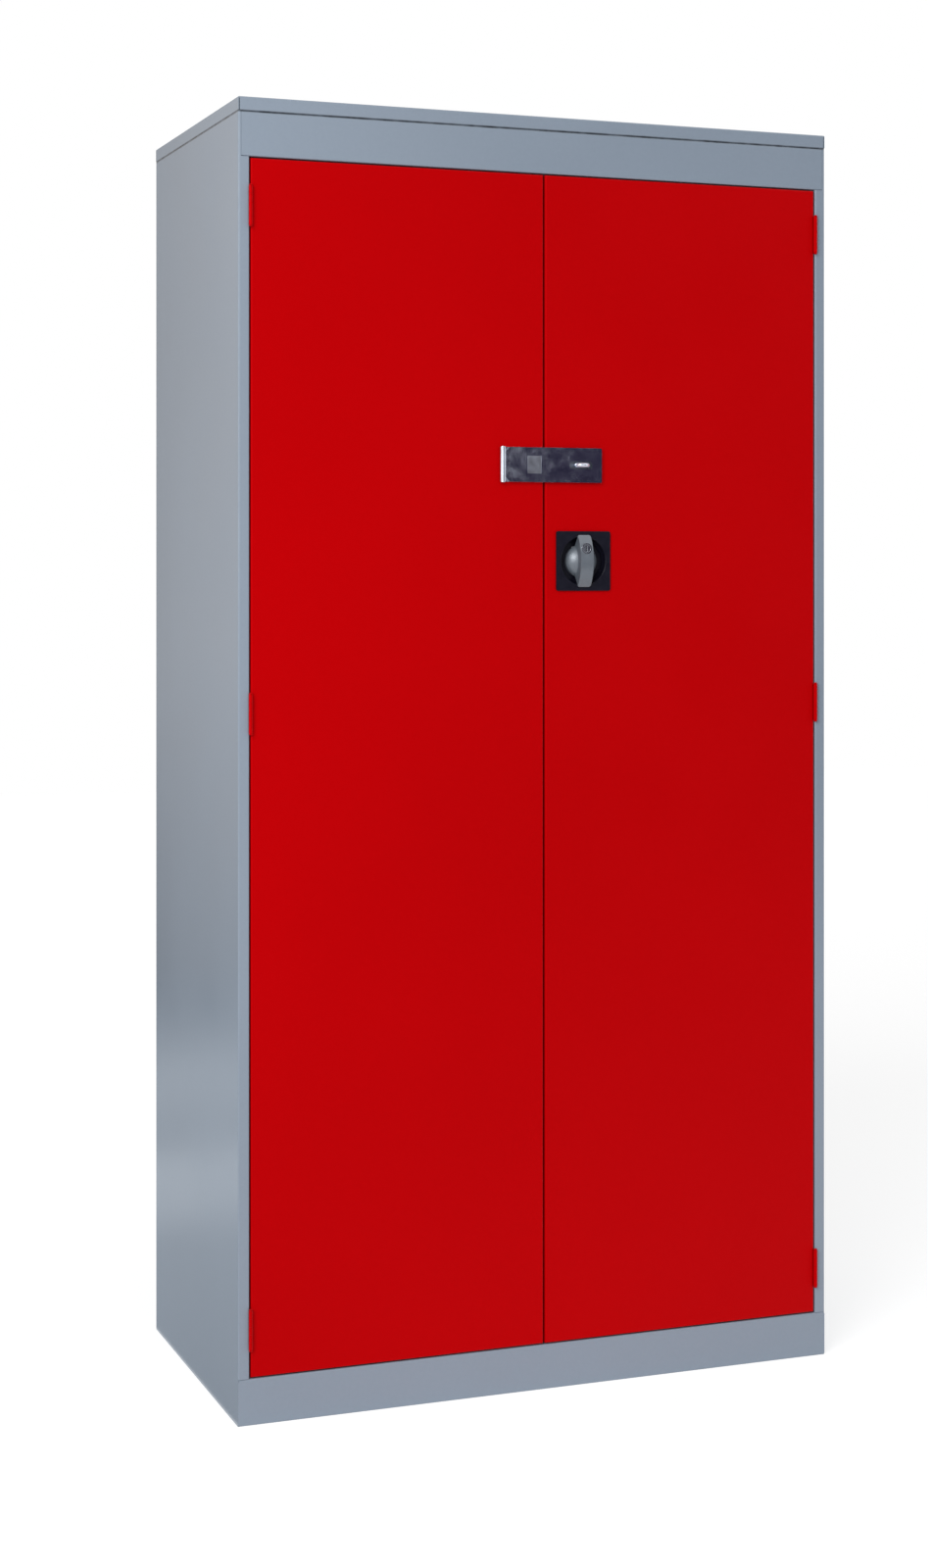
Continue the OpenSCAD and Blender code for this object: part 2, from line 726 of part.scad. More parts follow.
module hasp_leaf() color(chrome) placed() difference() {
    union() {
        translate([-hasp_barrel_x, -strap_t, hasp_z - hasp_w / 2])
            cube([hasp_barrel_x - leaf_margin, strap_t, hasp_w]);
        hasp_knuckle(-hasp_w / 2, end_knuckle);
        hasp_knuckle(hasp_w / 2 - end_knuckle, end_knuckle);
    }
    // room for the strap's knuckle
    translate([-hasp_barrel_x - 1, -strap_t - 1, hasp_z - mid_knuckle / 2 - moving])
        cube([hasp_barrel_r + 1 + moving, strap_t + 2, mid_knuckle + 2 * moving]);
    translate([-hasp_barrel_x, hasp_y, hasp_z - hasp_w])
        cylinder(r = hasp_bore_r, h = 2 * hasp_w);
    countersinks(hasp_screw_x);
}

module hasp_leaf_screws() color(zinc) placed() hasp_screw_group(hasp_screw_x);

module hasp_pin() color(chrome) placed() {
    translate([-hasp_barrel_x, hasp_y, hasp_z - hasp_w / 2])
        cylinder(r = hasp_pin_dia / 2, h = hasp_w);
}

// Strap outline from above the door, its barrel-side corners cut back.
module strap_outline() {
    x0 = -hasp_barrel_x + hasp_barrel_r + moving;
    difference() {
        union() {
            rounded_between(x0, -hasp_w / 2, strap_reach, hasp_w / 2, 2);
            translate([-hasp_barrel_x + hasp_bore_r + 0.8, -mid_knuckle / 2])
                square([2 * hasp_barrel_r, mid_knuckle]);
        }
        for (s = [-1, 1])
            translate([x0, s * hasp_w / 2]) circle(r = strap_chamfer, $fn = 4);
        translate([staple_x, 0]) rounded(slot_len, slot_w, slot_w / 2 - eps);
    }
}

module hasp_strap() color(chrome) placed() {
    press_w = 22;
    press_h = 26;
    press_x = -17.5;
    difference() {
        union() {
            at(0, hasp_z) along_y(strap_front, strap_back) strap_outline();
            hasp_knuckle(-mid_knuckle / 2, mid_knuckle);
        }
        translate([-hasp_barrel_x, hasp_y, hasp_z - hasp_w])
            cylinder(r = hasp_bore_r, h = 2 * hasp_w);
        at(press_x, hasp_z) along_y(strap_front - 1, strap_front + 0.3)
            rounded(press_w, press_h, 1.5);
    }
}

module staple_plate() color(chrome) placed() difference() {
    at(staple_x, hasp_z) along_y(-strap_t, 0) rounded(staple_plate_w, staple_plate_h, 2);
    countersinks(staple_screw_x);
    for (s = [-1, 1])
        at(staple_x + s * staple_arc_r, hasp_z)
            rod_y_axis(staple_r + running, -strap_t - 1, 1);
}

module staple_screws() color(zinc) placed() hasp_screw_group(staple_screw_x);

// Staple: a round bar bent to a half circle, its legs riveted behind the door skin.
module staple() color(chrome) placed() at(staple_x, hasp_z) {
    translate([0, staple_arc_y, 0]) rotate([0, 0, 180])
        rotate_extrude(angle = 180) translate([staple_arc_r, 0]) circle(staple_r);
    for (s = [-1, 1]) at(s * staple_arc_r, 0) {
        rod_y_axis(staple_r, staple_arc_y, door_t + 2);
        rod_y_axis(staple_r + 1.5, door_t, door_t + 2);
    }
}

// ---- handle, drawn about its own centre ----

module at_handle() placed() at(handle_x, handle_z) children();

// Plate, dished cup, spindle boss and three posts, cast in one.
module handle_plate() color(black_cast) at_handle() difference() {
    union() {
        along_y(-plate_t, 0) rounded(plate_w, plate_w + 1, 3);
        rod_y_axis(dish_r + cup_wall, -eps, dish_d + cup_floor);
        rod_y_axis(spindle_r + 4, dish_d, latch_y - moving);
        for (p = posts) at(p[0] * post_x, p[1] * post_x) rod_y_axis(post_r, -eps, cage_y);
    }
    turned() difference() {
        polygon([[0, -plate_t - 1], [dish_r + 1, -plate_t - 1], [dish_r + 1, -plate_t],
                 [dish_r, -plate_t + 1], [dish_r, dish_d / 2], [dish_floor_r, dish_d],
                 [0, dish_d]]);
        translate([-1, 0]) square([1, 1]);
    }
    rod_y_axis(spindle_r + running, 0, latch_y + 1);
    // notches that the lock tongue enters with the knob upright or turned
    for (a = [0, 90]) rotate([0, a, 0])
        translate([-notch_half, lock_back, lock_offset])
            cube([2 * notch_half, dish_d - lock_back, notch_r - lock_offset]);
    for (p = posts) at(p[0] * post_x, p[1] * post_x) rod_y_axis(1.7, cage_y - 12, cage_y + 1);
}

module handle_backplate() color(zinc) at_handle() {
    along_y(door_t, door_t + cage_t) difference() {
        rounded(plate_w + 13, plate_w + 13, 3);
        circle(dish_r + cup_wall + 0.3);
        for (p = posts) translate([p[0] * post_x, p[1] * post_x]) circle(post_r + 0.3);
    }
}

// Wing: a bowed face in front, its ends clear of the plate and its back sloping into
// the boss.
module wing() intersection() {
    along_x(-wing_w, wing_w)
        translate([wing_arc_r - wing_reach, 0]) circle(wing_arc_r, $fn = 96);
    along_y(-wing_reach - 1, boss_edge) rounded(wing_w, wing_len, 3);
    along_x(-wing_w, wing_w) polygon([
        [-2 * wing_reach, wing_len], [wing_back, wing_len],
        [wing_back, dish_r - 2], [boss_edge + 1, boss_r - 2.5],
        [boss_edge + 1, -boss_r + 2.5], [wing_back, -dish_r + 2],
        [wing_back, -wing_len], [-2 * wing_reach, -wing_len]]);
}

module wing_knob() color(zinc) at_handle() difference() {
    union() {
        wing();
        intersection() {
            rod_y_axis(boss_r, boss_top - 1, boss_back);
            translate([0, boss_top + boss_sphere_r, 0])
                rotate([-90, 0, 0]) sphere(boss_sphere_r, $fn = 96);
        }
        at(0, lock_offset) rod_y_axis(lock_r + 1.8, boss_top, boss_back - 1);
        rod_y_axis(spindle_r, boss_edge, latch_y - running);
        along_y(latch_y - 1, spindle_end) square(spindle_square, center = true);
    }
    at(0, lock_offset) rod_y_axis(lock_r + running, -wing_reach - 1, lock_back + eps);
    // pocket behind the lock for its tongue
    intersection() {
        at(0, lock_offset) rod_y_axis(tongue_len + 2, lock_back, boss_back + 1);
        translate([-50, lock_back, spindle_r + 1.5]) cube([100, 10, 50]);
    }
    rod_y_axis(1.7, cage_y - 10, spindle_end + 1);
}

module lock_barrel() color(black_cast) at_handle() at(0, lock_offset) difference() {
    rod_y_axis(lock_r, -wing_reach + 2.2, lock_back);
    rod_y_axis(plug_r + running, -wing_reach, lock_back + 1);
}

module lock_plug() color(zinc) at_handle() at(0, lock_offset) difference() {
    union() {
        rod_y_axis(plug_r, -wing_reach + 2.6, lock_back);
        along_y(lock_back - 1, boss_back - 0.4) square(4, center = true);
    }
    along_y(-wing_reach, -wing_reach + 12) square([1.6, 7.5], center = true);
}

module lock_tongue() color(zinc) at_handle() at(0, lock_offset) {
    along_y(lock_back + 0.4, lock_back + 0.4 + tongue_t) difference() {
        union() {
            circle(plug_r);
            rounded_between(-tongue_len, -tongue_w / 2, 0, tongue_w / 2, 2);
        }
        square(4 + 2 * running, center = true);
    }
}

// ---- spindle train and rods ----

module centre_latch() color(zinc) at_handle() along_y(latch_y, latch_y + latch_t) difference() {
    union() {
        circle(latch_hub_r);
        rounded_between(-latch_w / 2, -latch_len, latch_w / 2, 0, 6);
    }
    square(spindle_square + 2 * running, center = true);
}

// Involute pinion: half the tooth's angle at radius r.
base_r = pitch_r * cos(20);
function involute(r) = let (a = acos(min(1, base_r / r))) tan(a) * 180 / PI - a;
function flank_angle(r) =
    90 / pinion_teeth - backlash / 2 / pitch_r * 180 / PI + involute(pitch_r) - involute(max(r, base_r));

module pinion_outline() {
    tip_r = pitch_r + gear_module;
    root_r = pitch_r - dedendum;
    radii = [for (i = [0 : 5]) base_r + (tip_r - base_r) * i / 5];
    circle(root_r + 0.4);
    for (k = [0 : pinion_teeth - 1]) rotate(k * 360 / pinion_teeth) polygon(concat(
        [swung([root_r - 1, 0], -flank_angle(base_r))],
        [for (r = radii) swung([r, 0], -flank_angle(r))],
        [for (i = [5 : -1 : 0]) swung([radii[i], 0], flank_angle(radii[i]))],
        [swung([root_r - 1, 0], flank_angle(base_r))]));
}

module rod_pinion() color(zinc) at_handle() difference() {
    union() {
        along_y(rod_y - 0.2, rod_back + 0.2) pinion_outline();
        rod_y_axis(7, latch_y + latch_t + 0.1, rod_y);
        rod_y_axis(spindle_r, rod_back, cage_y + cage_t + 0.3);
    }
    along_y(latch_y, cage_y + 10) square(spindle_square + 2 * running, center = true);
}

// Rod with a rack on the side towards the pinion, drawn for the lower rod. z0 and z1
// are its ends and rack0 and rack1 its toothed stretch, from the spindle.
module rod_outline(z0, z1, rack0, rack1) {
    half_tip = tooth_pitch / 4 - backlash / 2 - rack_addendum * tan(20);
    sunk = 0.5;
    half_root = tooth_pitch / 4 - backlash / 2 + (dedendum + sunk) * tan(20);
    translate([rack_root, z0]) square([rod_w, z1 - z0]);
    for (k = [ceil(rack0 / tooth_pitch) : floor(rack1 / tooth_pitch) - 1])
        translate([0, (k + 0.5) * tooth_pitch]) polygon([
            [rack_root + sunk, -half_root], [rack_root + sunk, half_root],
            [pitch_r - rack_addendum, half_tip], [pitch_r - rack_addendum, -half_tip]]);
}

module rod_lower() color(zinc) at_handle() along_y(rod_y, rod_back) {
    rod_outline(rod_foot - handle_z, rod_stroke + rack_over,
                -rack_over, rod_stroke + rack_over);
}

module rod_upper() color(zinc) at_handle() along_y(rod_y, rod_back) rotate(180) {
    rod_outline(handle_z - rod_top, rod_stroke + rack_over,
                -rack_over, rod_stroke + rack_over);
}

// Cage: back plate on the posts, with two lipped walls that keep the racks in mesh.
module rod_cage() color(zinc) at_handle() {
    lip_y = rod_y - 0.4 - cage_t;
    along_y(cage_y, cage_y + cage_t) difference() {
        rounded(cage_w, cage_w, 4);
        circle(spindle_r + running);
        for (p = posts) translate([p[0] * post_x, p[1] * post_x]) circle(2.2);
    }
    along_z(-cage_half_h, cage_half_h) for (s = [0, 1]) mirror([s, 0]) {
        translate([cage_wall_x, lip_y]) square([cage_t, cage_y - lip_y + eps]);
        translate([cage_wall_x - cage_lip, lip_y]) square([cage_lip + eps, cage_t]);
    }
}

module rod_cage_screws() color(zinc) at_handle() for (p = posts)
    at(p[0] * post_x, p[1] * post_x) difference() {
        union() {
            rod_y_axis(1.6, cage_y - 10, cage_y + cage_t + 1);
            rod_y_axis(3.8, cage_y + cage_t, cage_y + cage_t + cage_head);
        }
        cross_recess(4.4, cage_y + cage_t + cage_head - recess_d, cage_y + cage_t + 5);
    }

module spindle_screw() color(zinc) at_handle() {
    rod_y_axis(1.6, cage_y - 8, spindle_end + 1);
    rod_y_axis(spindle_r + 2, spindle_end, spindle_end + 1.2);
    along_y(spindle_end + 1.1, spindle_end + 4) circle(nut_r, $fn = 6);
}

// Nylon guide on a door flange, its window a sliding fit on a rod.
module rod_guide(x, z0) {
    depth = rod_back + rod_play + guide_wall - door_d;
    translate([x, 0, z0]) difference() {
        translate([-guide_w / 2, door_d, 0]) cube([guide_w, depth, guide_h]);
        translate([-rod_w / 2 - rod_play, rod_y - rod_play, -1])
            cube([rod_w + 2 * rod_play, rod_t + 2 * rod_play, guide_h + 2]);
    }
}

module rod_guide_upper() color(nylon) placed() {
    rod_guide(handle_x - rod_x, guide_top - guide_h);
}

module rod_guide_lower() color(nylon) placed() rod_guide(handle_x + rod_x, guide_foot);

side_left();
side_right();
back_panel();
top_cap();
header_rail();
base_rail();
base_panel();
upright_front_left();
upright_front_right();
upright_rear_left();
upright_rear_right();
shelf_1();
shelf_2();
shelf_3();
shelf_4();
shelf_clips();
door_buffers();
hinge_frame_leaves_left();
hinge_frame_leaves_right();
hinge_pins_left();
hinge_pins_right();
door_left();
stiffener_left();
hinge_door_leaves_left();
hasp_leaf();
hasp_leaf_screws();
hasp_pin();
hasp_strap();
door_right();
stiffener_right();
hinge_door_leaves_right();
staple_plate();
staple_screws();
staple();
handle_plate();
handle_backplate();
rod_cage();
rod_cage_screws();
rod_guide_upper();
rod_guide_lower();
wing_knob();
lock_barrel();
centre_latch();
rod_pinion();
spindle_screw();
lock_plug();
lock_tongue();
rod_upper();
rod_lower();
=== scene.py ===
"""Paints, plates and fits out the two-door tool cabinet, and stands it in a plain studio.

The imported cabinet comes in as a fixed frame. Everything here is in metres, with X
across the front, Y from the doors to the back and Z up from the floor.
"""

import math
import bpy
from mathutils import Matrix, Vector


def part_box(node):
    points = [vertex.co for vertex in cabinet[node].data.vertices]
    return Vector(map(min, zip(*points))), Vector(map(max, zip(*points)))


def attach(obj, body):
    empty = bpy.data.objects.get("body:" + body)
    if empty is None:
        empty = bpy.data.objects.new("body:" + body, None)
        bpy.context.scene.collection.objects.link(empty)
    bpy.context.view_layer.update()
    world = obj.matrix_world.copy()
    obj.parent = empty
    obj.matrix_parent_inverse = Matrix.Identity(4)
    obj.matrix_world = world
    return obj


bl_info = {
    "name": "Two-door tool cabinet",
    "version": (1, 0, 0),
    "blender": (4, 5, 0),
    "location": "View3D > Sidebar > Cabinet",
    "description": "Finishes and lights the two-door tool cabinet",
    "category": "Object",
}

import bmesh
import bpy
from bpy.props import FloatProperty, FloatVectorProperty, PointerProperty
from bpy.types import Operator, Panel, PropertyGroup
from mathutils import Matrix, Vector

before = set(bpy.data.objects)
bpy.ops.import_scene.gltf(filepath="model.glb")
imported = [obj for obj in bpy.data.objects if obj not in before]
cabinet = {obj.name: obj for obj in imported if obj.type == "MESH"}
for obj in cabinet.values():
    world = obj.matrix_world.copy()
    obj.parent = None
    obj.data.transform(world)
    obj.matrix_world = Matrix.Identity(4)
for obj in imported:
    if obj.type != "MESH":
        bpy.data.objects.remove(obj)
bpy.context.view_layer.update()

STRAP_FRONT = -0.224                # front face of the hasp strap
STRAP_PRESS_X = -0.0175             # middle of the recess pressed into the strap
STRAP_PRESS_DEPTH = 0.0003
BACK_FLANGE = 0.016                 # width of a side panel's return at the back
STIFFENER_SHEET = 0.001             # thickness of a stiffener's steel
STIFFENER_FOOT = 0.010              # from a stiffener's edge to its row of welds
WELD_SIDES = 16                     # facets round one weld mark

JOIN_GAP = 0.000002                 # corners of a CAD mesh this close are one
SOFT_FOLD = math.radians(32)        # shallower folds are shaded smooth
SHARP_EDGE = math.radians(40)       # sharper edges are rounded
NOISE_SPREAD = (0.3, 0.7)           # nearly all of a noise's values lie between these

CARCASS_SHEET = [
    "side_left", "side_right", "back_panel", "top_cap", "header_rail", "base_rail",
    "base_panel", "upright_front_left", "upright_front_right", "upright_rear_left",
    "upright_rear_right", "shelf_1", "shelf_2", "shelf_3", "shelf_4",
]
DOOR_SHEET = [
    "door_left", "door_right", "stiffener_left", "stiffener_right",
    "hinge_door_leaves_left", "hinge_door_leaves_right",
    "hinge_frame_leaves_left", "hinge_frame_leaves_right",
]
HASP_METAL = ["hasp_leaf", "hasp_pin", "staple"]
ZINC_STEEL = [
    "shelf_clips", "hasp_leaf_screws", "staple_screws", "handle_backplate", "rod_cage",
    "rod_cage_screws", "centre_latch", "rod_pinion", "spindle_screw", "lock_tongue",
    "rod_upper", "rod_lower",
]

WHITE = (1.0, 1.0, 1.0, 1.0)
# A dark colour painted as the shade in the groove under the cap
PAINTED_SEAM_SHADE = (0.020, 0.026, 0.035, 1.0)
DUST_GREY = (0.42, 0.41, 0.39, 1.0)
SHOWN_FLOOR = (0.45, 0.45, 0.45, 1.0)   # the lit share of the floor that the camera sees
SHOWN_GLOW = 0.70                       # the share that glows and whitens it
SOFTBOX_AIM = (0.0, 0.0, 0.95)          # about the middle of the cabinet

# Painted reflections: glowing cards that only mirrors see, which the side panel mirrors.
# The floor card beside the cabinet has rows of (distance back, brightness). The wall card
# behind has rows of (height, brightness far off, and close by).
CARD_EDGE = -2.6                        # the far edge of both cards, along X
WALL_STAND = 3.24                       # where the wall stands and the floor ends
FLOOR_TINT = (0.95, 1.0, 1.05)
WALL_TINT = (1.08, 1.0, 0.93)
FLOOR_SHINE = [(-0.23, 0.34), (0.70, 0.48), (0.92, 0.82), (1.22, 0.92), (1.42, 0.49),
               (1.70, 0.60), (2.05, 0.80), (2.45, 0.44), (2.80, 0.15),
               (WALL_STAND, 0.20)]
WALL_SHINE = [(0.0, 0.33, 0.08), (0.90, 0.76, 0.28), (3.40, 1.0, 0.28)]


# ---- sizes and colours ----


def colour(name, description, default):
    return FloatVectorProperty(name=name, description=description, subtype="COLOR",
                               size=3, min=0.0, max=1.0, default=default)


def length(name, description, default):
    return FloatProperty(name=name, description=description, unit="LENGTH",
                         min=0.0, default=default, precision=5)


def factor(name, description, default):
    return FloatProperty(name=name, description=description, subtype="FACTOR",
                         min=0.0, max=1.0, default=default)


class CabinetColours(PropertyGroup):
    frame_paint: colour("Frame paint", "Powder coat on the carcass and shelves",
                        (0.235, 0.285, 0.352))
    door_paint: colour("Door paint", "Powder coat on the doors", (0.462, 0.0, 0.0012))
    hasp_plating: colour("Hasp plating", "Bright plating on the hasp and staple",
                         (0.56, 0.60, 0.68))
    # The hasp's plating painted darker, as the shade on the staple's plate under the strap
    painted_shade_plating: colour("Shaded plating", "Shade-darkened plating on the staple's plate",
                         (0.11, 0.12, 0.145))
    inset: colour("Strap inset", "Satin inset in the strap", (0.21, 0.22, 0.26))
    zinc: colour("Zinc", "Clear zinc plating on rods, screws and pins",
                 (0.50, 0.52, 0.54))
    black_casting: colour("Black casting", "Painted handle plate",
                          (0.0060, 0.0058, 0.0125))
    knob_casting: colour("Knob", "Satin die casting of the knob", (0.118, 0.138, 0.165))
    lock_metal: colour("Lock", "Plated barrel and plug of the lock", (0.34, 0.36, 0.40))
    nylon: colour("Nylon", "Moulded rod guides", (0.020, 0.020, 0.021))
    rubber: colour("Rubber", "Door buffers", (0.016, 0.016, 0.016))


class CabinetSurface(PropertyGroup):
    peel_size: length("Orange peel size", "Width of one ripple in the powder coat",
                      0.0032)
    peel_depth: length("Orange peel depth", "Height of a ripple in the powder coat",
                       0.000011)
    frame_gloss: factor("Frame roughness", "Roughness of the frame's powder coat", 0.24)
    door_gloss: factor("Door roughness", "Roughness of the doors' powder coat", 0.40)
    seam_shade: length("Seam shade", "Half height of the dark line under the cap", 0.0022)
    paint_mottle: factor("Paint mottle", "How far a coat's shade wanders", 0.035)
    plating_gloss: factor("Plating roughness", "Roughness of the bright plating", 0.10)
    zinc_gloss: factor("Zinc roughness", "Roughness of the zinc plating", 0.30)
    casting_grain: length("Casting grain", "Width of one grain of a casting's skin", 0.0007)
    edge_round: length("Edge rounding", "Rounding on the edges of the hardware", 0.0004)


class CabinetFittings(PropertyGroup):
    pin_head: length("Hinge pin head", "Radius of the rounded head on a hinge pin", 0.0026)
    hasp_head: length("Hasp pin head", "Radius of the peened head on the hasp pin", 0.0036)
    weld_radius: length("Weld mark", "Radius of one spot weld's mark", 0.0024)
    weld_rise: length("Weld rise", "How far a spot weld's ring stands up", 0.00018)
    weld_pitch: length("Weld pitch", "Distance from one spot weld to the next", 0.11)
    inset_thickness: length("Strap inset", "Thickness of the satin inset in the strap",
                            0.00018)


class CabinetStudio(PropertyGroup):
    floor_colour: colour("Floor", "Colour of the floor", (0.90, 0.90, 0.90))
    ambient: FloatProperty(name="Ambient light", default=0.43, min=0.0,
                           description="Even light from all round")
    key_light: FloatProperty(name="Main light", default=1.20, min=0.0,
                             description="Soft sun from the front left")
    fill_light: FloatProperty(name="Fill light", default=0.30, min=0.0,
                              description="Soft sun from the front right")
    side_light: FloatProperty(name="Softbox", default=21.0, min=0.0,
                              description="Power of the left softbox, in watts")
    camera_place: FloatVectorProperty(name="Camera place", size=3, unit="LENGTH",
                                      description="Where the camera stands",
                                      default=(-1.386, -3.4162, 1.1823))
    camera_turn: FloatProperty(name="Camera turn", unit="ROTATION", default=0.3435,
                               description="How far right of straight on it looks")
    camera_lens: FloatProperty(name="Lens", default=55.52, min=1.0,
                               description="Focal length in millimetres")
    camera_shift: FloatVectorProperty(name="Shift", size=2, default=(0.05, -0.1384),
                                      description="Sideways and upward shift of the lens")


# ---- meshes ----


def mesh_piece(name, shape):
    """Makes an object from a bmesh and links it."""
    mesh = bpy.data.meshes.new(name)
    bmesh.ops.recalc_face_normals(shape, faces=shape.faces)
    shape.to_mesh(mesh)
    shape.free()
    piece = bpy.data.objects.new(name, mesh)
    bpy.context.scene.collection.objects.link(piece)
    return piece


def lathe(shape, profile, foot, axis, sides=24):
    """Turns a profile of (radius, height) points about an axis that starts at foot."""
    upright = Vector(axis).to_track_quat("Z", "Y").to_matrix().to_4x4()
    turn = Matrix.Translation(foot) @ upright
    rings = []
    for radius, height in profile:
        steps = sides if radius else 1
        rings.append([shape.verts.new(turn @ Vector((
            radius * math.cos(2 * math.pi * i / steps),
            radius * math.sin(2 * math.pi * i / steps), height))) for i in range(steps)])
    for low, high in zip(rings, rings[1:]):
        for i in range(sides):
            corners = [low[i % len(low)], low[(i + 1) % len(low)],
                       high[(i + 1) % len(high)], high[i % len(high)]]
            face = shape.faces.new(list(dict.fromkeys(corners)))
            face.smooth = True


def domed(radius, height, steps=6):
    """The profile of a rounded head, its foot sunk a little into what carries it."""
    edge = sunk = height * 0.3
    arc = [(radius * math.cos(math.pi / 2 * i / steps),
            edge + (height - edge) * math.sin(math.pi / 2 * i / steps))
           for i in range(steps)]
    return [(0.0, -sunk), (radius, -sunk), *arc, (0.0, height)]


def weld_mark(radius, rise):
    """The profile of a spot weld: a low ring round a dimple."""
    return [(0.0, -rise), (radius, -rise), (radius, 0.0), (radius * 0.86, rise),
            (radius * 0.66, rise * 0.9), (radius * 0.45, rise * 0.25), (0.0, rise * 0.15)]


def finished(piece, body, material):
    """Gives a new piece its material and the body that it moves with."""
    piece.data.materials.append(material)
    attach(piece, body)
    return piece


def rows(low, high, pitch):
    """Evenly spaced places from low to high, about pitch apart."""
    count = max(1, round((high - low) / pitch))
    return [low + (high - low) * i / count for i in range(count + 1)]


def soft_shading():
    """A geometry tree that joins a CAD mesh's corners and smooths its shallow folds."""
    name = "sheet_shading"
    if name in bpy.data.node_groups:
        return bpy.data.node_groups[name]
    tree = bpy.data.node_groups.new(name, "GeometryNodeTree")
    tree.interface.new_socket("Geometry", in_out="INPUT", socket_type="NodeSocketGeometry")
    tree.interface.new_socket("Geometry", in_out="OUTPUT", socket_type="NodeSocketGeometry")
    came = tree.nodes.new("NodeGroupInput")
    done = tree.nodes.new("NodeGroupOutput")
    bare = tree.nodes.new("GeometryNodeRemoveAttribute")
    bare.inputs["Name"].default_value = "custom_normal"
    joined = tree.nodes.new("GeometryNodeMergeByDistance")
    joined.inputs["Distance"].default_value = JOIN_GAP
    faces = tree.nodes.new("GeometryNodeSetShadeSmooth")
    faces.domain = "FACE"
    edges = tree.nodes.new("GeometryNodeSetShadeSmooth")
    edges.domain = "EDGE"
    angle = tree.nodes.new("GeometryNodeInputMeshEdgeAngle")
    shallow = tree.nodes.new("FunctionNodeCompare")
    shallow.data_type = "FLOAT"
    shallow.operation = "LESS_THAN"
    shallow.inputs["B"].default_value = SOFT_FOLD
    link = tree.links.new
    link(came.outputs[0], bare.inputs["Geometry"])
    link(bare.outputs["Geometry"], joined.inputs["Geometry"])
    link(joined.outputs["Geometry"], faces.inputs["Geometry"])
    link(faces.outputs["Geometry"], edges.inputs["Geometry"])
    link(angle.outputs["Unsigned Angle"], shallow.inputs["A"])
    link(shallow.outputs["Result"], edges.inputs["Shade Smooth"])
    link(edges.outputs["Geometry"], done.inputs[0])
    return tree


def dress(names, material, rounding=0.0):
    """Gives CAD nodes a material, smooth folds and, on hardware, rounded edges."""
    for name in names:
        part = cabinet[name]
        if not part.material_slots:
            part.data.materials.append(material)
        for place in part.material_slots:
            place.material = material
        shade = part.modifiers.new("shading", "NODES")
        shade.node_group = soft_shading()
        if rounding:
            edge = part.modifiers.new("rounded_edges", "BEVEL")
            edge.width = rounding
            edge.segments = 2
            edge.limit_method = "ANGLE"
            edge.angle_limit = SHARP_EDGE
            edge.use_clamp_overlap = True
        even = part.modifiers.new("even_normals", "WEIGHTED_NORMAL")
        even.keep_sharp = True


# ---- shader nodes ----


def place(tree, kind, wires=None, **settings):
    """Adds a shader node. wires maps an input to a value or to another node's output."""
    made = tree.nodes.new("ShaderNode" + kind)
    for name, value in settings.items():
        setattr(made, name, value)
    for key, value in (wires or {}).items():
        if isinstance(value, bpy.types.NodeSocket):
            tree.links.new(value, made.inputs[key])
        else:
            made.inputs[key].default_value = value
    return made


def maths(tree, operation, first, second):
    return place(tree, "Math", {0: first, 1: second}, operation=operation).outputs[0]


def ranged(tree, value, low, high, to_low, to_high):
    return place(tree, "MapRange", {"Value": value, "From Min": low, "From Max": high,
                                    "To Min": to_low, "To Max": to_high}).outputs["Result"]


def noise(tree, where, scale, detail=2.0):
    return place(tree, "TexNoise",
                 {"Vector": where, "Scale": scale, "Detail": detail}).outputs["Fac"]


def patches(tree, where, scale, detail, low=-1.0, high=1.0):
    """Noise stretched so that its patches run from low to high."""
    return ranged(tree, noise(tree, where, scale, detail), *NOISE_SPREAD, low, high)


def stretched(tree, where, by):
    """Places scaled axis by axis, which draws a texture out into lines."""
    return place(tree, "VectorMath", {0: where, 1: by},
                 operation="MULTIPLY").outputs["Vector"]


def shader_group(name, inputs, outputs):
    """A shader group with its sockets. Returns it, its inputs and its outputs."""
    tree = bpy.data.node_groups.new(name, "ShaderNodeTree")
    kinds = {"colour": "NodeSocketColor", "number": "NodeSocketFloat",
             "vector": "NodeSocketVector"}
    for label, kind, default in inputs:
        socket = tree.interface.new_socket(label, in_out="INPUT", socket_type=kinds[kind])
        socket.default_value = default
    for label, kind in outputs:
        tree.interface.new_socket(label, in_out="OUTPUT", socket_type=kinds[kind])
    came = tree.nodes.new("NodeGroupInput").outputs
    done = tree.nodes.new("NodeGroupOutput").inputs
    return tree, came, done


def object_place(tree):
    return place(tree, "TexCoord").outputs["Object"]


def shade_by(tree, tint, amount):
    """A colour made lighter or darker by a factor that varies over the surface."""
    return place(tree, "VectorMath", {0: tint, "Scale": amount},
                 operation="SCALE").outputs["Vector"]


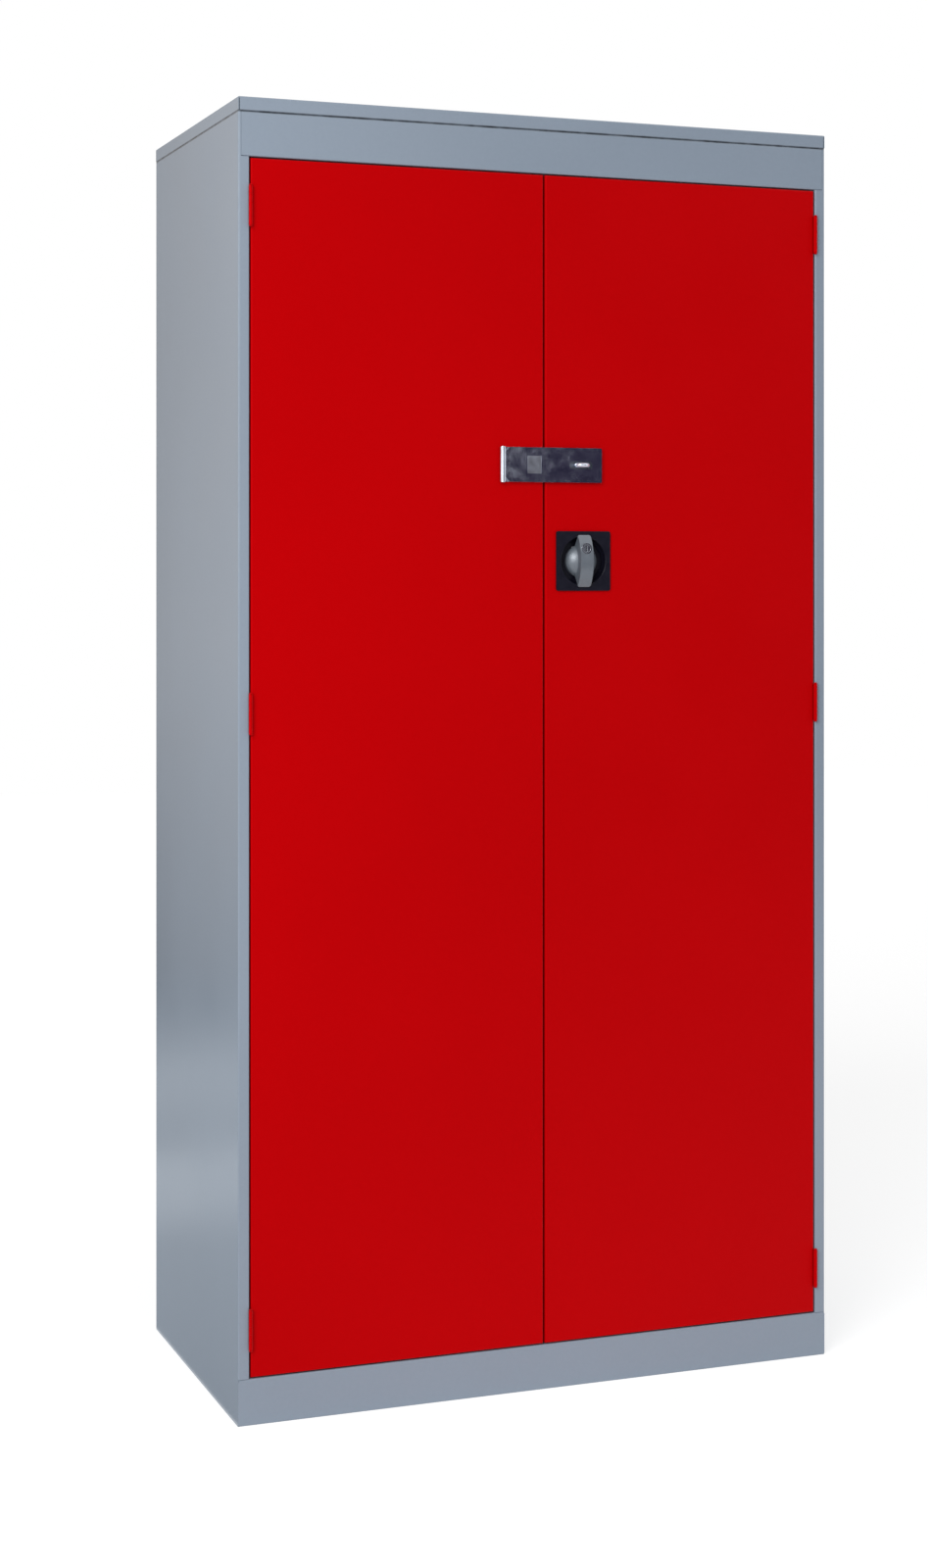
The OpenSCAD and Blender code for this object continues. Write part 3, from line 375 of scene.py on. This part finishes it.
def powder_coat_group():
    """Powder coat: fine orange peel, a slow drift of shade and a little dust on top."""
    if "powder_coat" in bpy.data.node_groups:
        return bpy.data.node_groups["powder_coat"]
    tree, came, done = shader_group("powder_coat", [
        ("Colour", "colour", (0.5, 0.5, 0.5, 1.0)), ("Peel Scale", "number", 300.0),
        ("Mottle", "number", 0.03), ("Roughness", "number", 0.4),
        ("Roughness Spread", "number", 0.05), ("Dust", "number", 0.0),
        ("Seam Height", "number", -1.0), ("Seam Width", "number", 0.001)],
        [("Colour", "colour"), ("Roughness", "number"), ("Height", "number")])
    where = object_place(tree)
    peel = noise(tree, where, came["Peel Scale"], 1.0)
    grain = noise(tree, where, maths(tree, "MULTIPLY", came["Peel Scale"], 4.5), 2.0)
    height = maths(tree, "ADD", peel, maths(tree, "MULTIPLY", grain, 0.10))
    drift = patches(tree, where, 1.7, 3.0)
    speck = patches(tree, where, 240.0, 3.0, -0.35, 0.35)
    amount = maths(tree, "ADD", 1.0, maths(
        tree, "MULTIPLY", maths(tree, "ADD", drift, speck), came["Mottle"]))
    tint = shade_by(tree, came["Colour"], amount)
    # A painted shade line along the seam under the cap, where the groove lies in shade,
    # broken up by patchy noise
    height_up = place(tree, "SeparateXYZ", {0: where}).outputs["Z"]
    off_seam = maths(tree, "ABSOLUTE", maths(
        tree, "SUBTRACT", height_up, came["Seam Height"]), 0.0)
    seam_shade_breakup = patches(tree, where, 60.0, 4.0, 0.55, 1.0)
    seam_shade_mask = maths(tree, "MULTIPLY", seam_shade_breakup, ranged(
        tree, off_seam, maths(tree, "MULTIPLY", came["Seam Width"], 0.5),
        came["Seam Width"], 0.9, 0.0))
    tint = place(tree, "Mix", {0: seam_shade_mask, 6: tint, 7: PAINTED_SEAM_SHADE},
                 data_type="RGBA").outputs[2]
    up = place(tree, "SeparateXYZ", {
        0: place(tree, "TexCoord").outputs["Normal"]}).outputs["Z"]
    patchy = ranged(tree, noise(tree, where, 14.0, 5.0), 0.35, 0.65, 0.35, 1.0)
    dust = maths(tree, "MULTIPLY", maths(tree, "MULTIPLY", ranged(
        tree, up, 0.75, 1.0, 0.0, 1.0), patchy), came["Dust"])
    dusty = place(tree, "Mix", {0: dust, 6: tint, 7: DUST_GREY}, data_type="RGBA")
    tree.links.new(dusty.outputs[2], done["Colour"])
    wander = patches(tree, where, 7.0, 4.0)
    rough = maths(tree, "ADD", came["Roughness"], maths(
        tree, "MULTIPLY", wander, came["Roughness Spread"]))
    rough = maths(tree, "ADD", rough, maths(tree, "MULTIPLY", dust, 0.8))
    tree.links.new(rough, done["Roughness"])
    tree.links.new(height, done["Height"])
    return tree


def plated_group():
    """Plated steel: lines drawn along one axis, cloudy plating and hairline scuffs."""
    if "plated_steel" in bpy.data.node_groups:
        return bpy.data.node_groups["plated_steel"]
    tree, came, done = shader_group("plated_steel", [
        ("Colour", "colour", (0.5, 0.5, 0.5, 1.0)), ("Cloud", "number", 0.05),
        ("Stretch", "vector", (1.0, 1.0, 1.0)), ("Line Scale", "number", 900.0),
        ("Roughness", "number", 0.2), ("Roughness Spread", "number", 0.05),
        ("Scuffs", "number", 0.3)],
        [("Colour", "colour"), ("Roughness", "number"), ("Height", "number")])
    where = object_place(tree)
    lines = noise(tree, stretched(tree, where, came["Stretch"]), came["Line Scale"], 3.0)
    cloud = patches(tree, where, 70.0, 4.0)
    amount = maths(tree, "ADD", 1.0, maths(tree, "MULTIPLY", cloud, came["Cloud"]))
    tree.links.new(shade_by(tree, came["Colour"], amount), done["Colour"])
    upright = stretched(tree, where, (1.0, 1.0, 0.06))
    marks = ranged(tree, noise(tree, upright, 1500.0, 2.0), 0.62, 0.72, 0.0, 1.0)
    marks = maths(tree, "MULTIPLY", marks, came["Scuffs"])
    rough = maths(tree, "ADD", came["Roughness"], maths(
        tree, "MULTIPLY", cloud, came["Roughness Spread"]))
    tree.links.new(maths(tree, "ADD", rough, maths(tree, "MULTIPLY", marks, 0.12)),
                   done["Roughness"])
    tree.links.new(maths(tree, "SUBTRACT", lines, maths(tree, "MULTIPLY", marks, 0.5)),
                   done["Height"])
    return tree


def cast_group():
    """Cast or moulded skin: a fine pebble grain with a few shallow pits."""
    if "cast_skin" in bpy.data.node_groups:
        return bpy.data.node_groups["cast_skin"]
    tree, came, done = shader_group("cast_skin", [
        ("Colour", "colour", (0.5, 0.5, 0.5, 1.0)), ("Grain Scale", "number", 1400.0),
        ("Mottle", "number", 0.06), ("Roughness", "number", 0.4),
        ("Roughness Spread", "number", 0.06), ("Pits", "number", 0.3)],
        [("Colour", "colour"), ("Roughness", "number"), ("Height", "number")])
    where = object_place(tree)
    grain = noise(tree, where, came["Grain Scale"], 3.0)
    cells = place(tree, "TexVoronoi", {"Vector": where, "Scale": 520.0}).outputs["Distance"]
    pits = maths(tree, "MULTIPLY", ranged(tree, cells, 0.0, 0.16, 1.0, 0.0), came["Pits"])
    cloud = patches(tree, where, 90.0, 4.0)
    amount = maths(tree, "ADD", 1.0, maths(tree, "MULTIPLY", cloud, came["Mottle"]))
    tree.links.new(shade_by(tree, came["Colour"], amount), done["Colour"])
    tree.links.new(maths(tree, "ADD", came["Roughness"], maths(
        tree, "MULTIPLY", cloud, came["Roughness Spread"])), done["Roughness"])
    tree.links.new(maths(tree, "SUBTRACT", grain, pits), done["Height"])
    return tree


made_materials = {}


def finish_material(name, group, values, depth, metallic=0.0, **shader):
    """A material whose colour, roughness and bump come from one of the groups."""
    if name in made_materials:
        return made_materials[name]
    material = bpy.data.materials.new(name)
    made_materials[name] = material
    material.use_nodes = True
    tree = material.node_tree
    tree.nodes.clear()
    out = place(tree, "OutputMaterial")
    skin = place(tree, "Group", node_tree=group)
    for key, value in values.items():
        skin.inputs[key].default_value = value
    bump = place(tree, "Bump", {"Height": skin.outputs["Height"], "Distance": depth,
                                "Strength": 1.0})
    body = place(tree, "BsdfPrincipled", {
        "Base Color": skin.outputs["Colour"], "Roughness": skin.outputs["Roughness"],
        "Normal": bump.outputs["Normal"], "Metallic": metallic})
    for key, value in shader.items():
        body.inputs[key.replace("_", " ")].default_value = value
    tree.links.new(body.outputs["BSDF"], out.inputs["Surface"])
    return material


def rgba(tint):
    return (*tint, 1.0)


def chosen():
    """The colours and the surface sizes set for this scene."""
    scene = bpy.context.scene
    return scene.cabinet_colours, scene.cabinet_surface


def frame_paint():
    paint, skin = chosen()
    # The seam height and width place the painted shade line under the cap
    return finish_material("cabinet_frame_paint", powder_coat_group(), {
        "Colour": rgba(paint.frame_paint), "Peel Scale": 1.0 / skin.peel_size,
        "Mottle": skin.paint_mottle, "Roughness": skin.frame_gloss,
        "Roughness Spread": 0.03, "Dust": 0.05, "Seam Height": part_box("top_cap")[0].z,
        "Seam Width": skin.seam_shade}, depth=skin.peel_depth, Specular_IOR_Level=0.5)


def door_paint():
    paint, skin = chosen()
    return finish_material("cabinet_door_paint", powder_coat_group(), {
        "Colour": rgba(paint.door_paint), "Peel Scale": 1.0 / skin.peel_size,
        "Mottle": skin.paint_mottle, "Roughness": skin.door_gloss,
        "Roughness Spread": 0.03, "Dust": 0.03}, depth=skin.peel_depth,
        Specular_IOR_Level=0.4, Specular_Tint=(1.0, 0.03, 0.04, 1.0))


def hasp_plating():
    paint, skin = chosen()
    return finish_material("cabinet_hasp_plating", plated_group(), {
        "Colour": rgba(paint.hasp_plating), "Cloud": 0.10, "Stretch": (0.08, 1.0, 1.0),
        "Line Scale": 1100.0, "Roughness": skin.plating_gloss, "Roughness Spread": 0.04,
        "Scuffs": 0.8}, depth=0.000006, metallic=1.0)


def satin_plating():
    paint, _ = chosen()
    return finish_material("cabinet_satin_plating", plated_group(), {
        "Colour": rgba(paint.inset), "Cloud": 0.25, "Stretch": (1.0, 1.0, 0.05),
        "Line Scale": 1500.0, "Roughness": 0.38, "Roughness Spread": 0.08,
        "Scuffs": 0.6}, depth=0.00003, metallic=1.0)


# The hasp's plating painted darker, as the shade on the staple's plate under the strap
def painted_shade_plating():
    paint, skin = chosen()
    return finish_material("cabinet_dull_plating", plated_group(), {
        "Colour": rgba(paint.painted_shade_plating), "Cloud": 0.2, "Stretch": (0.08, 1.0, 1.0),
        "Line Scale": 1100.0, "Roughness": skin.zinc_gloss, "Roughness Spread": 0.06,
        "Scuffs": 0.5}, depth=0.00001, metallic=1.0)


def zinc_plating():
    paint, skin = chosen()
    return finish_material("cabinet_zinc_plating", plated_group(), {
        "Colour": rgba(paint.zinc), "Cloud": 0.12, "Stretch": (1.0, 1.0, 0.08),
        "Line Scale": 1000.0, "Roughness": skin.zinc_gloss, "Roughness Spread": 0.07,
        "Scuffs": 0.35}, depth=0.000008, metallic=1.0)


def black_casting():
    paint, skin = chosen()
    return finish_material("cabinet_black_casting", cast_group(), {
        "Colour": rgba(paint.black_casting), "Grain Scale": 1.0 / skin.casting_grain,
        "Mottle": 0.10, "Roughness": 0.34, "Roughness Spread": 0.06, "Pits": 0.15},
        depth=0.00002, Specular_IOR_Level=0.16)


def knob_casting():
    paint, skin = chosen()
    return finish_material("cabinet_knob_casting", cast_group(), {
        "Colour": rgba(paint.knob_casting), "Grain Scale": 1.4 / skin.casting_grain,
        "Mottle": 0.06, "Roughness": 0.34, "Roughness Spread": 0.05, "Pits": 0.12},
        depth=0.000012, metallic=0.2, Specular_IOR_Level=0.8)


def lock_metal():
    paint, _ = chosen()
    return finish_material("cabinet_lock_metal", plated_group(), {
        "Colour": rgba(paint.lock_metal), "Cloud": 0.08, "Stretch": (1.0, 1.0, 1.0),
        "Line Scale": 1600.0, "Roughness": 0.2, "Roughness Spread": 0.05,
        "Scuffs": 0.4}, depth=0.000005, metallic=1.0)


def moulded(name, tint, roughness):
    skin = bpy.context.scene.cabinet_surface
    return finish_material("cabinet_" + name, cast_group(), {
        "Colour": rgba(tint), "Grain Scale": 1.0 / skin.casting_grain, "Mottle": 0.10,
        "Roughness": roughness, "Roughness Spread": 0.06, "Pits": 0.1},
        depth=0.00002)


# ---- one operator for each group of pieces ----


class CABINET_OT_carcass(Operator):
    """Powder coats the carcass and the shelves"""
    bl_idname = "cabinet.carcass"
    bl_label = "Carcass and shelves"

    def execute(self, context):
        dress(CARCASS_SHEET, frame_paint())
        self.back_welds(context.scene.cabinet_fittings)
        return {"FINISHED"}

    def back_welds(self, fittings):
        """Spot welds down the side panels' returns, which hold the back panel."""
        profile = weld_mark(fittings.weld_radius, fittings.weld_rise)
        low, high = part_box("side_left")
        end_gap = 0.045
        shape = bmesh.new()
        for z in rows(low.z + end_gap, high.z - end_gap, fittings.weld_pitch):
            for x in (low.x + BACK_FLANGE / 2, -low.x - BACK_FLANGE / 2):
                lathe(shape, profile, (x, high.y, z), (0, 1, 0), WELD_SIDES)
        finished(mesh_piece("back_spot_welds", shape), "carcass",
                 frame_paint())


class CABINET_OT_doors(Operator):
    """Powder coats both doors, their stiffeners and all the hinges"""
    bl_idname = "cabinet.doors"
    bl_label = "Doors"

    def execute(self, context):
        dress(DOOR_SHEET, door_paint())
        dress(["hinge_pins_left", "hinge_pins_right"], door_paint())
        fittings = context.scene.cabinet_fittings
        for side in ("left", "right"):
            self.stiffener_welds(side, fittings)
            self.pin_heads(side, fittings)
        return {"FINISHED"}

    def stiffener_welds(self, side, fittings):
        """Spot welds along both feet of a door's stiffener, seen with the door open."""
        profile = weld_mark(fittings.weld_radius, fittings.weld_rise)
        low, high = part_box("stiffener_" + side)
        end_gap = 0.03
        pitch = fittings.weld_pitch * 1.3
        shape = bmesh.new()
        for z in rows(low.z + end_gap, high.z - end_gap, pitch):
            for x in (low.x + STIFFENER_FOOT, high.x - STIFFENER_FOOT):
                lathe(shape, profile, (x, low.y + STIFFENER_SHEET, z), (0, 1, 0),
                      WELD_SIDES)
        finished(mesh_piece("stiffener_welds_" + side, shape), "door_" + side,
                 door_paint())

    def pin_heads(self, side, fittings):
        """Rounded heads on both ends of the hinge pins."""
        pins = cabinet["hinge_pins_" + side].data.vertices
        low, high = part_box("hinge_pins_" + side)
        middle = (low + high) / 2
        heights = sorted({round(v.co.z, 4) for v in pins})
        profile = domed(fittings.pin_head, fittings.pin_head * 0.55)
        shape = bmesh.new()
        for place_in_row, z in enumerate(heights):
            up = 1 if place_in_row % 2 else -1
            lathe(shape, profile, (middle.x, middle.y, z), (0, 0, up))
        finished(mesh_piece("hinge_pin_heads_" + side, shape), "carcass",
                 door_paint())


class CABINET_OT_hasp(Operator):
    """Plates the hasp and the staple"""
    bl_idname = "cabinet.hasp"
    bl_label = "Hasp and staple"

    def execute(self, context):
        rounding = context.scene.cabinet_surface.edge_round
        dress(HASP_METAL, hasp_plating(), rounding)
        dress(["hasp_strap"], hasp_plating(), rounding * 2)
        # The staple's plate gets the plating painted darker, as shade under the strap
        dress(["staple_plate"], painted_shade_plating(), rounding)
        fittings = context.scene.cabinet_fittings
        self.pin_heads(fittings)
        self.strap_inset(fittings)
        return {"FINISHED"}

    def pin_heads(self, fittings):
        """Peened heads that keep the hasp's pin in its barrel."""
        low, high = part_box("hasp_pin")
        middle = (low + high) / 2
        profile = domed(fittings.hasp_head, fittings.hasp_head * 0.35)
        shape = bmesh.new()
        lathe(shape, profile, (middle.x, middle.y, high.z), (0, 0, 1))
        lathe(shape, profile, (middle.x, middle.y, low.z), (0, 0, -1))
        finished(mesh_piece("hasp_pin_heads", shape), "door_left",
                 hasp_plating())

    def strap_inset(self, fittings):
        """A bare satin inset in the strap's pressed recess."""
        half_w, half_h, corner = 0.0106, 0.0126, 0.0012
        corner_steps = 4
        low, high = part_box("hasp_strap")
        centre = Vector((STRAP_PRESS_X, STRAP_FRONT + STRAP_PRESS_DEPTH,
                         (low.z + high.z) / 2))
        outline = []
        for quarter, (sx, sz) in enumerate([(1, 1), (-1, 1), (-1, -1), (1, -1)]):
            for step in range(corner_steps + 1):
                angle = math.pi / 2 * (quarter + step / corner_steps)
                outline.append((sx * (half_w - corner) + corner * math.cos(angle),
                                sz * (half_h - corner) + corner * math.sin(angle)))
        shape = bmesh.new()
        edge = fittings.inset_thickness * 0.6
        layers = [(0.0, 0.0), (0.0, -fittings.inset_thickness + edge),
                  (edge, -fittings.inset_thickness)]
        loops = []
        for shrink, rise in layers:
            scale_x, scale_z = 1 - shrink / half_w, 1 - shrink / half_h
            loops.append([shape.verts.new(centre + Vector((x * scale_x, rise, z * scale_z)))
                          for x, z in outline])
        for outer, inner in zip(loops, loops[1:]):
            for i in range(len(outline)):
                j = (i + 1) % len(outline)
                shape.faces.new([outer[i], outer[j], inner[j], inner[i]])
        shape.faces.new(loops[0])
        shape.faces.new(loops[-1])
        finished(mesh_piece("strap_inset", shape), "hasp", satin_plating())


class CABINET_OT_handle(Operator):
    """Finishes the handle plate, the knob and the lock in it"""
    bl_idname = "cabinet.handle"
    bl_label = "Handle and lock"

    def execute(self, context):
        rounding = context.scene.cabinet_surface.edge_round
        dress(["handle_plate"], black_casting(), rounding * 1.5)
        dress(["wing_knob"], knob_casting(), rounding * 2)
        dress(["lock_barrel", "lock_plug"], lock_metal(), rounding * 0.5)
        return {"FINISHED"}


class CABINET_OT_fittings(Operator):
    """Finishes the zinc plated, nylon and rubber fittings"""
    bl_idname = "cabinet.fittings"
    bl_label = "Rods and fittings"

    def execute(self, context):
        paint = context.scene.cabinet_colours
        dress(ZINC_STEEL, zinc_plating())
        dress(["rod_guide_upper", "rod_guide_lower"], moulded("nylon", paint.nylon, 0.42))
        dress(["door_buffers"], moulded("rubber", paint.rubber, 0.70))
        return {"FINISHED"}


def studio_material(name):
    material = bpy.data.materials.new(name)
    material.use_nodes = True
    material.node_tree.nodes.clear()
    return material, material.node_tree


def seen_or_mirrored(tree):
    """1 for rays from the camera and from mirrors and glass, and 0 for the rest."""
    path = place(tree, "LightPath")
    seen = maths(tree, "MAXIMUM", path.outputs["Is Camera Ray"],
                 path.outputs["Is Glossy Ray"])
    return maths(tree, "MAXIMUM", seen, path.outputs["Is Transmission Ray"])


def tinted(tint, shine):
    """A brightness given a tint."""
    return tuple(part * shine for part in tint)


def flat_card(name, corners):
    """A flat four-sided card for the studio."""
    shape = bmesh.new()
    shape.faces.new([shape.verts.new(corner) for corner in corners])
    card = mesh_piece(name, shape)
    return card


class CABINET_OT_studio(Operator):
    """Lays the pale floor, whitens the background and sets the soft lights"""
    bl_idname = "cabinet.studio"
    bl_label = "Studio"

    def execute(self, context):
        studio = context.scene.cabinet_studio
        self.floor(studio)
        self.background(context.scene, studio)
        self.front_reflection_card()
        self.floor_reflection_card()
        self.wall_reflection_card()
        self.sun("key_sun", studio.key_light, towards=(-0.62, -0.62, 0.50), spread=30)
        self.sun("fill_sun", studio.fill_light, towards=(0.55, -0.45, 0.70), spread=50)
        self.softbox("left_softbox", studio.side_light, stand=(-1.7, -1.9, 1.7), side=1.3)
        context.scene.view_settings.view_transform = "Standard"
        return {"FINISHED"}

    def floor(self, studio):
        reach = 9.0
        floor = flat_card("floor", [(-reach, -reach, 0), (reach, -reach, 0),
                                    (reach, reach, 0), (-reach, reach, 0)])
        material, tree = studio_material("pale_floor")
        tint = rgba(studio.floor_colour)
        lit = place(tree, "BsdfDiffuse", {"Color": tint})
        shadowed = place(tree, "BsdfDiffuse", {"Color": SHOWN_FLOOR})
        glow = place(tree, "Emission", {"Color": WHITE, "Strength": SHOWN_GLOW})
        pale = place(tree, "AddShader", {0: shadowed.outputs[0], 1: glow.outputs[0]})
        shown = place(tree, "MixShader", {0: seen_or_mirrored(tree), 1: lit.outputs[0],
                                          2: pale.outputs[0]})
        place(tree, "OutputMaterial", {"Surface": shown.outputs[0]})
        floor.data.materials.append(material)

    def background(self, scene, studio):
        world = bpy.data.worlds.new("studio_world")
        world.use_nodes = True
        tree = world.node_tree
        tree.nodes.clear()
        soft = place(tree, "Background", {"Color": WHITE, "Strength": studio.ambient})
        white = place(tree, "Background", {"Color": WHITE, "Strength": 1.0})
        shown = place(tree, "MixShader", {0: seen_or_mirrored(tree), 1: soft.outputs[0],
                                          2: white.outputs[0]})
        place(tree, "OutputWorld", {"Surface": shown.outputs[0]})
        scene.world = world

    def front_reflection_card(self):
        """Painted dark reflection: a card beyond the front keeps the flat plates dark."""
        dark, stand, height = (0.041, 0.035, 0.064), -3.9, 2.9
        self.mirror_card("front_reflection_card", [
            [((x, stand, z), dark) for x in (1.35, 3.20)] for z in (0.0, height)])

    def floor_reflection_card(self):
        """Painted reflections: a floor card at the left with two pale strips of light."""
        just_over, clear = 0.002, 0.0015
        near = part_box("side_left")[0].x - clear
        self.mirror_card("floor_reflection_card", [
            [((x, y, just_over), tinted(FLOOR_TINT, shine)) for x in (CARD_EDGE, near)]
            for y, shine in FLOOR_SHINE])

    def wall_reflection_card(self):
        """Painted reflections: a warm wall card behind at the left, brighter at its far
        end.
        """
        lit_to, dim_from, end = -1.5, -1.1, -0.459
        self.mirror_card("wall_reflection_card", [
            [((x, WALL_STAND, z), tinted(WALL_TINT, shine)) for x, shine in (
                (CARD_EDGE, far), (lit_to, far), (dim_from, near), (end, near))]
            for z, far, near in WALL_SHINE])

    def mirror_card(self, name, bands):
        """A card that only mirrors see, coloured band by band from its foot up."""
        shape = bmesh.new()
        glow = shape.verts.layers.float_color.new("glow")
        rows_up = []
        for band in bands:
            row = []
            for where, tint in band:
                row.append(shape.verts.new(where))
                row[-1][glow] = rgba(tint)
            rows_up.append(row)
        for low, high in zip(rows_up, rows_up[1:]):
            for i in range(len(low) - 1):
                shape.faces.new([low[i], low[i + 1], high[i + 1], high[i]])
        card = mesh_piece(name, shape)
        material, tree = studio_material(name)
        tint = place(tree, "Attribute", attribute_name="glow").outputs["Color"]
        shine = place(tree, "Emission", {"Color": tint, "Strength": 1.0})
        place(tree, "OutputMaterial", {"Surface": shine.outputs[0]})
        material.cycles.emission_sampling = "NONE"
        card.data.materials.append(material)
        card.visible_camera = False
        card.visible_diffuse = False
        card.visible_shadow = False
        card.visible_transmission = False

    def softbox(self, name, strength, stand, side):
        """A square soft lamp turned to the middle of the cabinet."""
        lamp = bpy.data.lights.new(name, "AREA")
        lamp.energy = strength
        lamp.size = side
        holder = bpy.data.objects.new(name, lamp)
        holder.location = stand
        holder.rotation_mode = "QUATERNION"
        away = Vector(stand) - Vector(SOFTBOX_AIM)
        holder.rotation_quaternion = away.to_track_quat("Z", "Y")
        bpy.context.scene.collection.objects.link(holder)

    def sun(self, name, strength, towards, spread):
        """A sun that shines from the side towards points to, spread in degrees."""
        lamp = bpy.data.lights.new(name, "SUN")
        lamp.energy = strength
        lamp.angle = math.radians(spread)
        holder = bpy.data.objects.new(name, lamp)
        holder.rotation_mode = "QUATERNION"
        holder.rotation_quaternion = Vector(towards).to_track_quat("Z", "Y")
        bpy.context.scene.collection.objects.link(holder)


class CABINET_OT_camera(Operator):
    """Stands the camera where the picture was taken from"""
    bl_idname = "cabinet.camera"
    bl_label = "Camera"

    def execute(self, context):
        studio = context.scene.cabinet_studio
        lens = bpy.data.cameras.new("camera")
        lens.lens = studio.camera_lens
        lens.sensor_width = 36.0
        lens.sensor_fit = "AUTO"
        lens.shift_x, lens.shift_y = studio.camera_shift
        lens.clip_start = 0.01
        lens.clip_end = 60.0
        camera = bpy.data.objects.new("camera", lens)
        camera.location = studio.camera_place
        camera.rotation_euler = (math.pi / 2, 0.0, -studio.camera_turn)
        context.scene.collection.objects.link(camera)
        context.scene.camera = camera
        return {"FINISHED"}


STEPS = [CABINET_OT_camera, CABINET_OT_carcass, CABINET_OT_doors, CABINET_OT_hasp,
         CABINET_OT_handle, CABINET_OT_fittings, CABINET_OT_studio]


class CABINET_PT_panel(Panel):
    """Lists the steps that build the cabinet"""
    bl_idname = "CABINET_PT_panel"
    bl_label = "Tool cabinet"
    bl_space_type = "VIEW_3D"
    bl_region_type = "UI"
    bl_category = "Cabinet"

    def draw(self, context):
        for step in STEPS:
            self.layout.operator(step.bl_idname)


GROUPS = {"cabinet_colours": CabinetColours, "cabinet_surface": CabinetSurface,
          "cabinet_fittings": CabinetFittings, "cabinet_studio": CabinetStudio}


def register():
    for item in [*GROUPS.values(), *STEPS, CABINET_PT_panel]:
        bpy.utils.register_class(item)
    for name, group in GROUPS.items():
        setattr(bpy.types.Scene, name, PointerProperty(type=group))


def unregister():
    for name in GROUPS:
        delattr(bpy.types.Scene, name)
    for item in reversed([*GROUPS.values(), *STEPS, CABINET_PT_panel]):
        bpy.utils.unregister_class(item)


def main():
    register()
    for step in STEPS:
        area, name = step.bl_idname.split(".")
        getattr(getattr(bpy.ops, area), name)()
    bpy.context.view_layer.update()


if __name__ == "__main__":
    main()
